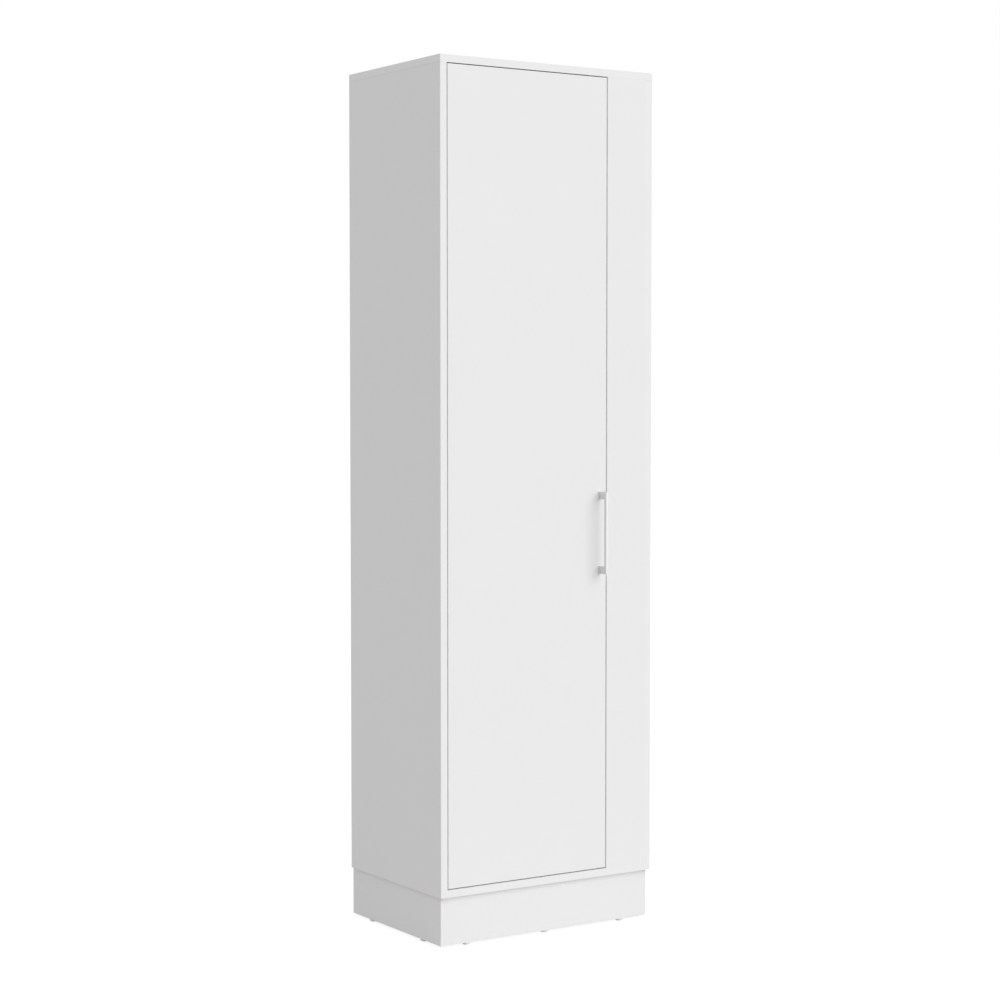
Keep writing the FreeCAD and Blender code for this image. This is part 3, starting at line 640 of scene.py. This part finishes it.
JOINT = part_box("top_panel")[0].z
CORE = Chipboard("bare_chipboard", "melamine", (0.46, 0.34, 0.215), 0.85)
# painted shade: chipboard darkened nearly to black, standing in for the shade inside a shelf hole
PAINTED_HOLE_SHADE = Chipboard("painted_hole_shade", "melamine", (0.05, 0.038, 0.026), 0.85, chips=1400.0)
REAR, BELOW = (Outward.BACK,), (Outward.DOWN,)
UPRIGHT = Melamine("melamine_upright")
SIDE = Melamine("melamine_side", facing=Facing.ACROSS, bare=REAR + BELOW, joint=JOINT)
TOP = Melamine("melamine_top", facing=Facing.UP, bare=REAR, joint=JOINT)
LEVEL = Melamine("melamine_level", facing=Facing.UP, bare=REAR)
PARTITION = Melamine("melamine_partition", facing=Facing.ACROSS, bare=REAR)
PLINTH_LONG = Melamine("melamine_plinth_long", bare=BELOW)
PLINTH_SHORT = Melamine("melamine_plinth_short", facing=Facing.ACROSS, bare=BELOW)
BACKBOARD = Hardboard("lacquered_hardboard", "hardboard", (0.82, 0.82, 0.81), 0.38)
EXTRUSION = MouldedPlastic("extruded_strip", "joining_strip", (0.80, 0.80, 0.79), 0.4)
SATIN = BrushedMetal("satin_handle", "handle", (0.73, 0.73, 0.73), 0.3)
NICKEL = PlatedSteel("nickel_plate", "nickel", (0.62, 0.61, 0.59), 0.27)
ZINC = PlatedSteel("zinc_plate", "nickel", (0.60, 0.62, 0.65), 0.34,
                   cast=(0.62, 0.60, 0.53), grain=1300.0)
CASTING = PlatedSteel("die_casting", "nickel", (0.42, 0.42, 0.43), 0.5,
                      cast=(0.36, 0.36, 0.37), grain=700.0)
GLIDE = MouldedPlastic("glide_plastic", "glide_plastic", (0.88, 0.88, 0.875), 0.4,
                       grain=1600.0, soft=0.2)
BUTTON = MouldedPlastic("soft_button", "bumper", (0.74, 0.75, 0.75), 0.5, grain=900.0, soft=0.5)


# ---- mesh making ----


def lathe(profile: Sequence[tuple[float, float]], segments: int = 40) -> bmesh.types.BMesh:
    """Turn a closed profile about the Z axis.

    Args:
        profile: Radius and height of each point. It starts and ends on the axis, or its last
            point is joined to the first one.
        segments: Steps round the axis.

    Returns:
        The turned solid.
    """
    turned = bmesh.new()
    points = list(profile)
    if points[0][0] > 0.0:
        points.append(points[0])
    rings = []
    for radius, height in points:
        angles = (math.tau * step / segments for step in range(segments if radius > 0.0 else 1))
        ring = [turned.verts.new((radius * math.cos(a), radius * math.sin(a), height))
                for a in angles]
        rings.append(ring if radius > 0.0 else ring * segments)
    for inner, outer in zip(rings, rings[1:]):
        for step in range(segments):
            after = (step + 1) % segments
            corners = dict.fromkeys((inner[step], outer[step], outer[after], inner[after]))
            turned.faces.new(list(corners))
    bmesh.ops.remove_doubles(turned, verts=turned.verts, dist=WELDED)
    bmesh.ops.recalc_face_normals(turned, faces=turned.faces)
    return turned


def star_prism(radius: float, web: float, depth: float, taper: float,
               points: int) -> bmesh.types.BMesh:
    """Make the tapered star that cuts a screw's drive.

    Args:
        radius: Reach of the points.
        web: Half the width of a point.
        depth: How far it goes down and up from zero.
        taper: Size of the lower end against the upper one.
        points: Number of points.

    Returns:
        The closed prism.
    """
    outline = []
    half = math.pi / points
    for step in range(points):
        turn = Matrix.Rotation(2.0 * half * step, 3, "Z")
        along, aside = turn @ Vector((1.0, 0.0, 0.0)), turn @ Vector((0.0, 1.0, 0.0))
        outline += [along * radius + way * aside * web for way in (-1.0, 1.0)]
        outline.append((along + aside * math.tan(half)) * web / math.tan(half))
    prism = bmesh.new()
    upper = [prism.verts.new(point + Vector((0.0, 0.0, depth))) for point in outline]
    lower = [prism.verts.new(point * taper - Vector((0.0, 0.0, depth))) for point in outline]
    prism.faces.new(upper)
    prism.faces.new(list(reversed(lower)))
    for step, point in enumerate(upper):
        after = (step + 1) % len(upper)
        prism.faces.new((point, lower[step], lower[after], upper[after]))
    bmesh.ops.recalc_face_normals(prism, faces=prism.faces)
    return prism


def smoothed(mesh: bpy.types.Mesh) -> bpy.types.Mesh:
    """Shade a mesh smooth between its sharp edges.

    Args:
        mesh: The mesh, which is changed.

    Returns:
        The same mesh.
    """
    mesh.shade_smooth()
    mesh.set_sharp_from_angle(angle=math.radians(SHARP_FROM))
    return mesh


def to_mesh(name: str, shape: bmesh.types.BMesh) -> bpy.types.Mesh:
    """Turn an edit mesh into a mesh.

    Args:
        name: Name of the mesh.
        shape: The edit mesh, which is freed.

    Returns:
        The mesh, shaded smooth.
    """
    mesh = bpy.data.meshes.new(name)
    shape.to_mesh(mesh)
    shape.free()
    return smoothed(mesh)


def turned_part(name: str, shares: Sequence[tuple[float, float]], radius: float,
                unit: float = MM, segments: int = 40) -> bpy.types.Mesh:
    """Turn a profile of shares of a radius and heights in a unit."""
    profile = [(share * radius, height * unit) for share, height in shares]
    return to_mesh(name, lathe(profile, segments))


def carved(name: str, block: bpy.types.Mesh, tool: bpy.types.Mesh) -> bpy.types.Mesh:
    """Cut one mesh out of another.

    Args:
        name: Name of the result.
        block: What is cut.
        tool: The shape that goes.

    Returns:
        The carved mesh.
    """
    held, cutter = (bpy.data.objects.new(mesh.name, mesh) for mesh in (block, tool))
    for helper in (held, cutter):
        bpy.context.scene.collection.objects.link(helper)
    change = held.modifiers.new("carve", "BOOLEAN")
    change.object, change.operation, change.solver = cutter, "DIFFERENCE", "EXACT"
    bpy.context.view_layer.update()
    final = held.evaluated_get(bpy.context.evaluated_depsgraph_get())
    result = bpy.data.meshes.new_from_object(final)
    result.name = name
    for helper in (held, cutter):
        bpy.data.objects.remove(helper)
    return smoothed(result)


def fitted(name: str, source: bpy.types.Mesh, places: Iterable[Matrix], finish: Finish,
           body: str) -> bpy.types.Object:
    """Make one piece from copies of a mesh.

    Args:
        name: Name of the piece.
        source: The mesh of one copy, standing on the origin.
        places: Where the copies go.
        finish: Their finish.
        body: The body that carries them.

    Returns:
        The piece, riding on its body.
    """
    joined = bmesh.new()
    for place in places:
        copy = source.copy()
        copy.transform(place)
        joined.from_mesh(copy)
        bpy.data.meshes.remove(copy)
    mesh = bpy.data.meshes.new(name)
    joined.to_mesh(mesh)
    joined.free()
    mesh.materials.append(finish.material())
    piece = bpy.data.objects.new(name, mesh)
    bpy.context.scene.collection.objects.link(piece)
    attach(piece, body)
    log.info("%s: %d faces, %s, on %s", name, len(mesh.polygons), finish.name, body)
    return piece


def dress(nodes: Iterable[str], finish: Finish) -> None:
    """Give nodes of the frame their finish.

    Args:
        nodes: Names of the nodes.
        finish: The finish.
    """
    for name in nodes:
        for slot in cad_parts[name].material_slots:
            slot.material = finish.material()
        log.info("%s: %s", name, finish.name)


def middle(node: str) -> Vector:
    """The middle of a node's box."""
    low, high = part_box(node)
    return (low + high) / 2.0


# ---- fasteners ----


class Drive(Enum):
    """The recess of a screw head: number of points, their reach and half their width."""

    CROSS = (4, 0.58, 0.115)
    COMBINED = (8, 0.52, 0.07)


@dataclass(frozen=True)
class ScrewHead:
    """The part of a screw that shows.

    Attributes:
        radius: Radius of the head.
        rise: How far it stands above what it holds.
        drive: Its recess.
        rim: Upright edge of the head.
        sunk: How far it goes into what it holds.
        recess: Depth of the recess.
    """

    radius: float
    rise: float
    drive: Drive = Drive.CROSS
    rim: float = 0.0
    sunk: float = 1.2 * MM
    recess: float = 0.9 * MM

    def mesh(self, name: str) -> bpy.types.Mesh:
        """Build the head, standing on the origin and looking up.

        Args:
            name: Name of the mesh.

        Returns:
            The head with its recess.
        """
        r, h = self.radius, self.rise
        crown = [(r * math.cos(a), self.rim + (h - self.rim) * math.sin(a)) for a in CROWN]
        neck = r * 0.96
        profile = [(0.0, -self.sunk), (neck, -self.sunk), *crown, (0.0, h)]
        points, reach, web = self.drive.value
        block = to_mesh(name + "_head", lathe(profile, segments=36))
        star = star_prism(r * reach, r * web, self.recess, taper=0.45, points=points)
        tool = to_mesh(name + "_drive", star)
        tool.transform(Matrix.Translation((0.0, 0.0, h)))
        return carved(name, block, tool)


# ---- sub-assemblies ----


class Assembly(ABC):
    """A group of pieces that is dressed together."""

    @abstractmethod
    def build(self) -> None:
        """Dress the group's nodes and make its own pieces."""


@dataclass
class Carcass(Assembly):
    """Sides, top, bottom and the fixed front, with the fittings that join them.

    Attributes:
        cam_radius: Radius of a cam.
        cam_proud: How far a cam stands out of its board.
        cam_sunk: How far its drawn part goes into the board.
        cam_distance: Middle of a cam from its joint.
        cam_inset: Middle of a cam from the front and back edges.
    """

    cam_radius: float = 7.4 * MM
    cam_proud: float = 0.3 * MM
    cam_sunk: float = 1.0 * MM
    cam_distance: float = 34.0 * MM
    cam_inset: float = 90.0 * MM

    def build(self) -> None:
        """Dress the boards and set the cams."""
        dress(("side_panel_left", "side_panel_right"), SIDE)
        dress(("top_panel",), TOP)
        dress(("bottom_panel",), LEVEL)
        dress(("front_panel_fixed", "stop_batten"), UPRIGHT)
        fitted("cam_fittings", self.cam(), self.cam_places(), CASTING, "cabinet")

    def cam(self) -> bpy.types.Mesh:
        """Make a cam: a disc with a rim and a cross recess.

        Returns:
            Its mesh.
        """
        r, proud, sunk = self.cam_radius, self.cam_proud, self.cam_sunk
        face, shoulder = 0.3 * proud, 0.7 * proud
        profile = [(0.0, -sunk), (r, -sunk), (r, shoulder), (0.96 * r, proud), (0.86 * r, proud),
                   (0.82 * r, face), (0.0, face)]
        cross = star_prism(radius=0.56 * r, web=0.13 * r, depth=0.8 * sunk, taper=0.7, points=4)
        tool = to_mesh("cam_drive", cross)
        return carved("cam", to_mesh("cam_block", lathe(profile, segments=44)), tool)

    def cam_places(self) -> list[Matrix]:
        """Find where the cams are: high on both sides, and under the bottom.

        Returns:
            The placement of each cam, all turned a little differently.
        """
        low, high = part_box("side_panel_left")
        inner, under = high.x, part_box("bottom_panel")[0].z
        height, across = high.z - self.cam_distance, -inner - self.cam_distance
        places = []
        for y, spin in ((low.y + self.cam_inset, 20.0), (high.y - self.cam_inset, 51.0)):
            places.append(Outward.RIGHT.at((inner, y, height), spin))
            places.append(Outward.LEFT.at((-inner, y, height), spin + 45.0))
            places += [Outward.DOWN.at((x, y, under), spin + x) for x in (-across, across)]
        return places


@dataclass
class Backs(Assembly):
    """The two backs, the strip between them and the rail that is screwed to the wall."""

    def build(self) -> None:
        """Dress the sheets, the strip and the rail."""
        dress(("back_panel_lower", "back_panel_upper"), BACKBOARD)
        dress(("back_joining_strip",), EXTRUSION)
        dress(("wall_rail",), UPRIGHT)


@dataclass
class Plinth(Assembly):
    """The plinth boards and the glides under them.

    Attributes:
        glide_radius: Radius of a glide.
        foot: Radius of its flat foot.
        nail_radius: Radius of the nail's head in a glide.
        nail_clearance: Gap round the nail's head.
        end_reach: Outer glides of the front and back, from the middle.
        front_step: First glide under a side, from those of the front.
        back_step: Second glide under a side, from those of the back.
    """

    glide_radius: float = 8.0 * MM
    foot: float = 5.0 * MM
    nail_radius: float = 1.9 * MM
    nail_clearance: float = 0.5 * MM
    end_reach: float = 197.5 * MM
    front_step: float = 72.0 * MM
    back_step: float = 66.0 * MM

    def build(self) -> None:
        """Dress the boards and stand the glides under them."""
        dress(("plinth_front", "plinth_back"), PLINTH_LONG)
        dress(("plinth_side_left", "plinth_side_right", "plinth_centre_rail"), PLINTH_SHORT)
        places = [Matrix.Translation((x, y, 0.0)) for x, y in self.places()]
        glides = fitted("moulded_glides", self.glide(), places, GLIDE, "cabinet")
        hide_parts("nail_glides")
        fitted("glide_nails", self.nail(), places, ZINC, "cabinet")

    def places(self) -> list[tuple[float, float]]:
        """Find the middle of each glide: three along the front and back, two under each side.

        Returns:
            Their x and y.
        """
        front, back = middle("plinth_front").y, middle("plinth_back").y
        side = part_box("nail_glides")[1].x - self.glide_radius
        rows = [(x, y) for y in (front, back) for x in (-self.end_reach, 0.0, self.end_reach)]
        steps = (front + self.front_step, back - self.back_step)
        return rows + [(x, y) for x in (-side, side) for y in steps]

    def glide(self) -> bpy.types.Mesh:
        """Make a rounded glide with a hollow round its nail.

        Returns:
            Its mesh.
        """
        r, foot, height = self.glide_radius, self.foot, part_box("nail_glides")[1].z
        inner, hollow = 0.8 * self.nail_radius, self.nail_radius + self.nail_clearance
        floor, lip, flare, dome = 0.9 * MM, 0.25 * MM, 0.5 * MM, 0.62 * height
        profile = [(inner, floor), (hollow, floor), (hollow, lip), (hollow + flare, 0.0),
                   (foot, 0.0)]
        angles = [math.radians(12 + 13 * step) for step in range(7)]
        profile += [(foot + (r - foot) * math.sin(a), dome * (1 - math.cos(a))) for a in angles]
        profile += [(r, 0.9 * height), (0.97 * r, height), (inner, height)]
        return to_mesh("glide", lathe(profile))

    def nail(self) -> bpy.types.Mesh:
        """The flat head of the nail inside a glide."""
        shares = [(0.0, 0.4), (0.8, 0.45), (1.0, 0.6), (1.0, 0.9), (0.0, 0.9)]
        return turned_part("nail", shares, self.nail_radius, segments=24)


@dataclass
class Interior(Assembly):
    """Shelves, partition, supports and the spare holes that shelves can be moved to.

    Attributes:
        pitch: Step between shelf holes.
        hole_radius: Radius of a shelf hole.
        pin_drop: A support's pin below its ledge.
        half_support: Half the width of a support.
        support_thickness: Thickness of a support's upright.
        spare: Steps at which spare holes stand, from the one in use.
    """

    pitch: float = 32.0 * MM
    hole_radius: float = 2.5 * MM
    pin_drop: float = 6.5 * MM
    half_support: float = 4.0 * MM
    support_thickness: float = 1.5 * MM
    spare: tuple[int, ...] = (-2, -1, 1, 2)

    def build(self) -> None:
        """Dress the boards and supports and mark the holes."""
        dress(("hat_shelf", "shelf_1", "shelf_2", "shelf_3"), LEVEL)
        dress(("partition",), PARTITION)
        dress(("shelf_supports",), NICKEL)
        places = self.hole_places(self.spare)
        # the holes are shallow discs on the board; their near-black colour is painted shade, not a
        # real bore
        fitted("shelf_hole_painted_shade", self.hole(), places, PAINTED_HOLE_SHADE, "cabinet")
        fitted("shelf_hole_rims", self.rim(), places, UPRIGHT, "cabinet")
        lift = Matrix.Translation((0.0, 0.0, self.support_thickness))
        lifted = [place @ lift for place in self.hole_places(steps=(0,))]
        fitted("support_pins", self.pin(), lifted, NICKEL, "cabinet")

    def hole_places(self, steps: Sequence[int]) -> list[Matrix]:
        """Find places on the left side and on the partition.

        Args:
            steps: Whole steps up or down from the hole of each support.

        Returns:
            One placement for each hole.
        """
        low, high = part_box("shelf_supports")
        rows = (low.y + self.half_support, high.y - self.half_support)
        heights = [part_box(f"shelf_{number}")[0].z - self.pin_drop for number in (1, 2, 3)]
        return [side.at((x, y, z + step * self.pitch))
                for side, x in ((Outward.RIGHT, low.x), (Outward.LEFT, high.x))
                for y in rows for z in heights for step in steps]

    def hole(self) -> bpy.types.Mesh:
        """A dished disc in a hole's mouth, dark with painted shade of the hole's inside."""
        shares = [(0.0, 0.02), (0.5, 0.03), (0.9, 0.08), (0.9, -0.3), (0.0, -0.3)]
        return turned_part("hole", shares, self.hole_radius, segments=28)

    def rim(self) -> bpy.types.Mesh:
        """The decor that drilling has raised a little round a hole."""
        shares = [(0.88, -0.3), (0.88, 0.06), (0.94, 0.12), (1.02, 0.11), (1.22, 0.01),
                  (1.22, -0.3)]
        return turned_part("rim", shares, self.hole_radius, segments=28)

    def pin(self) -> bpy.types.Mesh:
        """The riveted end of a support's pin."""
        shares = [(0.0, 0.7), (0.5, 0.62), (0.85, 0.35), (1.0, 0.0), (1.0, -0.3), (0.0, -0.3)]
        return turned_part("pin", shares, self.hole_radius, segments=28)


@dataclass
class BroomBay(Assembly):
    """The rail with its hooks.

    Attributes:
        head: The screws of a hook.
        strip: Thickness of a hook's strip.
        drops: Screws of a hook below its top.
    """

    head: ScrewHead = ScrewHead(3.2 * MM, 1.2 * MM)
    strip: float = 2.0 * MM
    drops: tuple[float, ...] = (9.0 * MM, 26.0 * MM)

    def build(self) -> None:
        """Dress rail and hooks and screw the hooks on."""
        dress(("tool_rail",), UPRIGHT)
        hooks = ("tool_hook_1", "tool_hook_2", "tool_hook_3")
        dress(hooks, NICKEL)
        places = []
        for number, hook in enumerate(hooks):
            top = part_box(hook)[1]
            for row, drop in enumerate(self.drops):
                point = (middle(hook).x, top.y - self.strip, top.z - drop)
                places.append(Outward.FRONT.at(point, spin=15.0 + 37.0 * row + 23.0 * number))
        fitted("hook_screws", self.head.mesh("hook_screw"), places, ZINC, "cabinet")


@dataclass
class DoorLeaf(Assembly):
    """The inset leaf and the soft buttons that it closes on.

    Attributes:
        button_radius: Radius of a button.
    """

    button_radius: float = 5.0 * MM

    def build(self) -> None:
        """Dress the leaf and set the buttons."""
        dress(("door_panel",), UPRIGHT)
        low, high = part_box("door_bumpers")
        centre, r = middle("door_bumpers"), self.button_radius
        heights = (low.z + r, centre.z, high.z - r)
        places = [Outward.FRONT.at((centre.x, high.y, z)) for z in heights]
        buttons = fitted("soft_buttons", self.button(high.y - low.y), places, BUTTON, "cabinet")
        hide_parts("door_bumpers")

    def button(self, height: float) -> bpy.types.Mesh:
        """Make a domed button.

        Args:
            height: How far it stands out.

        Returns:
            Its mesh.
        """
        shares = [(0.0, 1.0), (0.45, 0.97), (0.75, 0.82), (0.93, 0.5), (1.0, 0.12), (0.98, 0.0),
                  (0.0, 0.0)]
        return turned_part("button", shares, self.button_radius, unit=height)


@dataclass
class BarHandle(Assembly):
    """The bar handle and its screws from inside the door.

    Attributes:
        head: The screws, whose heads are on the door's inner face.
        spins: Turn of the lower and of the upper screw, in degrees.
    """

    head: ScrewHead = ScrewHead(4.2 * MM, 2.3 * MM, rim=0.9 * MM)
    spins: tuple[float, float] = (8.0, 61.0)

    def build(self) -> None:
        """Dress bar and posts and set the screws."""
        posts = ("handle_post_lower", "handle_post_upper")
        dress(("handle_bar", *posts), SATIN)
        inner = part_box("door_panel")[1].y
        points = [(middle(post).x, inner, middle(post).z) for post in posts]
        places = [Outward.BACK.at(point, spin) for point, spin in zip(points, self.spins)]
        fitted("handle_screws", self.head.mesh("handle_screw"), places, ZINC, "door")


@dataclass
class Hinges(Assembly):
    """The concealed hinges and their screws.

    Attributes:
        count: Number of hinges.
        half_flange: Half the width of a cup's flange.
        cup_reach: Screws of a cup, from the hinge's middle.
        plate_reach: Screws of a plate, from the hinge's middle.
        plate_rise: Thickness of a plate's wings.
        sole: Thickness of an arm's sole.
        adjuster: Adjusting screw of an arm, in front of its fixing screw.
        cup_head: Screws of a cup.
        plate_head: Screws of a plate.
        arm_head: Screws of an arm.
    """

    count: int = 4
    half_flange: float = 9.0 * MM
    cup_reach: float = 24.0 * MM
    plate_reach: float = 16.0 * MM
    plate_rise: float = 2.5 * MM
    sole: float = 2.0 * MM
    adjuster: float = 17.0 * MM
    cup_head: ScrewHead = ScrewHead(3.7 * MM, 0.6 * MM)
    plate_head: ScrewHead = ScrewHead(4.4 * MM, 0.9 * MM, Drive.COMBINED)
    arm_head: ScrewHead = ScrewHead(3.3 * MM, 1.0 * MM, rim=0.4 * MM)

    def build(self) -> None:
        """Dress the hinges and set their screws."""
        numbers = range(1, self.count + 1)
        for kind in ("cup", "arm", "plate"):
            dress([f"hinge_{kind}_{number}" for number in numbers], NICKEL)
        cups, plates, arms = [], [], []
        for number in numbers:
            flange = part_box(f"hinge_cup_{number}")[1]
            plate, z = middle(f"hinge_plate_{number}"), middle(f"hinge_cup_{number}").z
            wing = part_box(f"hinge_plate_{number}")[0].x + self.plate_rise
            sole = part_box(f"hinge_arm_{number}")[0].x + self.sole
            for way in (-1.0, 1.0):
                point = (flange.x - self.half_flange, flange.y, z + way * self.cup_reach)
                cups.append(Outward.BACK.at(point, spin=30.0 * number + 40.0 * way))
                point = (wing, plate.y, z + way * self.plate_reach)
                plates.append(Outward.RIGHT.at(point, spin=47.0 * number * way))
            fixing, adjusting = (sole, plate.y, z), (sole, plate.y - self.adjuster, z)
            arms.append(Outward.RIGHT.at(fixing, spin=19.0 * number))
            arms.append(Outward.RIGHT.at(adjusting, spin=70.0 + 5.0 * number))
        fitted("cup_screws", self.cup_head.mesh("cup_screw"), cups, ZINC, "door")
        fitted("plate_screws", self.plate_head.mesh("plate_screw"), plates, ZINC, "cabinet")
        fitted("arm_screws", self.arm_head.mesh("arm_screw"), arms, ZINC, "cabinet")


# ---- studio ----


@dataclass
class Studio:
    """Camera, key light, world and floor.

    Attributes:
        eye: Position of the camera.
        pitch: Camera above or below the horizon, in degrees.
        yaw: Camera turned from +Y towards +X, in degrees.
        lens: Focal length.
        sensor: Width of the sensor; both in millimetres.
        reach: How far the camera sees.
        fill: Light of the world on the object.
        key: Strength of the soft key light from the front right.
        key_from: Where the key light comes from.
        key_spread: Its spread as seen from the object, in degrees.
        floor_size: Half the edge of the floor.
        floor_tone: Share of its light that the floor throws back on the object.
        floor_glow: Light that the object gets from the floor where its own shadow lies too.
        shadow: How much of the floor's brightness a shadow can take away.
    """

    eye: Point = (-2.7066, -4.1305, 1.1566)
    pitch: float = -2.7616
    yaw: float = 33.1379
    lens: float = 81.74
    sensor: float = 36.0
    reach: float = 60.0
    fill: float = 0.58
    key: float = 1.43
    key_from: Point = (2.33, -4.99, 3.4)
    key_spread: float = 56.0
    floor_size: float = 14.0
    floor_tone: float = 0.35
    floor_glow: float = 0.34
    shadow: float = 0.22

    def build(self) -> None:
        """Set up everything round the object."""
        self.camera()
        self.lamp()
        self.world()
        self.floor()
        bpy.context.scene.view_settings.view_transform = "Standard"
        log.info("studio: camera, key light, world and floor")

    def camera(self) -> None:
        """Stand the camera in its place."""
        data = bpy.data.cameras.new("camera")
        data.lens, data.sensor_width, data.clip_end = self.lens, self.sensor, self.reach
        camera = bpy.data.objects.new("camera", data)
        camera.location = self.eye
        camera.rotation_euler = (math.radians(90.0 + self.pitch), 0.0, math.radians(-self.yaw))
        bpy.context.scene.collection.objects.link(camera)
        bpy.context.scene.camera = camera

    def lamp(self) -> None:
        """Hang the soft key light at the front right."""
        data = bpy.data.lights.new("key", "SUN")
        data.energy, data.angle = self.key, math.radians(self.key_spread)
        lamp = bpy.data.objects.new("key", data)
        lamp.location = self.key_from
        lamp.rotation_euler = (-lamp.location).to_track_quat("-Z", "Y").to_euler()
        bpy.context.scene.collection.objects.link(lamp)

    @staticmethod
    def seen(tree: Tree) -> Wire:
        """Mark what the camera sees, directly, mirrored or through glass.

        Args:
            tree: The tree of a material or of the world.

        Returns:
            One there, and zero for light on its way to the object.
        """
        camera, glossy, clear = (tree.add("ShaderNodeLightPath", output=f"Is {kind} Ray")
                                 for kind in ("Camera", "Glossy", "Transmission"))
        return camera | glossy | clear

    def world(self) -> None:
        """White to the eye, and a plain fill light on the object."""
        world = bpy.data.worlds.new("world")
        world.use_nodes = True
        bpy.context.scene.world = world
        tree = Tree(world.node_tree)
        strength = self.fill + self.seen(tree) * (1.0 - self.fill)
        light = tree.add("ShaderNodeBackground", inputs={"Color": grey(1.0), "Strength": strength})
        tree.add("ShaderNodeOutputWorld", inputs={"Surface": light})

    @staticmethod
    def floor_light(tree: Tree, tone: float, glow: float) -> Wire:
        """Make one of the floor's two surfaces.

        Args:
            tree: The floor's tree.
            tone: Share of its light that the surface throws back.
            glow: Even light of its own.

        Returns:
            The surface.
        """
        lit = tree.add("ShaderNodeBsdfDiffuse", inputs={"Color": grey(tone)})
        even = tree.add("ShaderNodeEmission", inputs={"Color": grey(1.0), "Strength": glow})
        return tree.add("ShaderNodeAddShader", inputs={0: lit, 1: even})

    def floor(self) -> None:
        """A pale floor that keeps the object's shadow."""
        shape = bmesh.new()
        bmesh.ops.create_grid(shape, x_segments=1, y_segments=1, size=self.floor_size)
        mesh = bpy.data.meshes.new("floor")
        shape.to_mesh(mesh)
        shape.free()
        material = bpy.data.materials.new("pale_floor")
        material.use_nodes = True
        tree = Tree(material.node_tree)
        bounce = self.floor_light(tree, self.floor_tone, self.floor_glow)
        bright = self.floor_light(tree, self.shadow, 1.0 - 0.5 * self.shadow)
        surface = tree.add("ShaderNodeMixShader", inputs={0: self.seen(tree), 1: bounce, 2: bright})
        tree.add("ShaderNodeOutputMaterial", inputs={"Surface": surface})
        mesh.materials.append(material)
        floor = bpy.data.objects.new("floor", mesh)
        bpy.context.scene.collection.objects.link(floor)


def main() -> None:
    """Build the studio and every sub-assembly."""
    logging.basicConfig(level=logging.INFO, format="%(name)s: %(message)s")
    Studio().build()
    for kind in (Carcass, Backs, Plinth, Interior, BroomBay, DoorLeaf, BarHandle, Hinges):
        kind().build()
        log.info("%s done", kind.__name__)


if __name__ == "__main__":
    main()
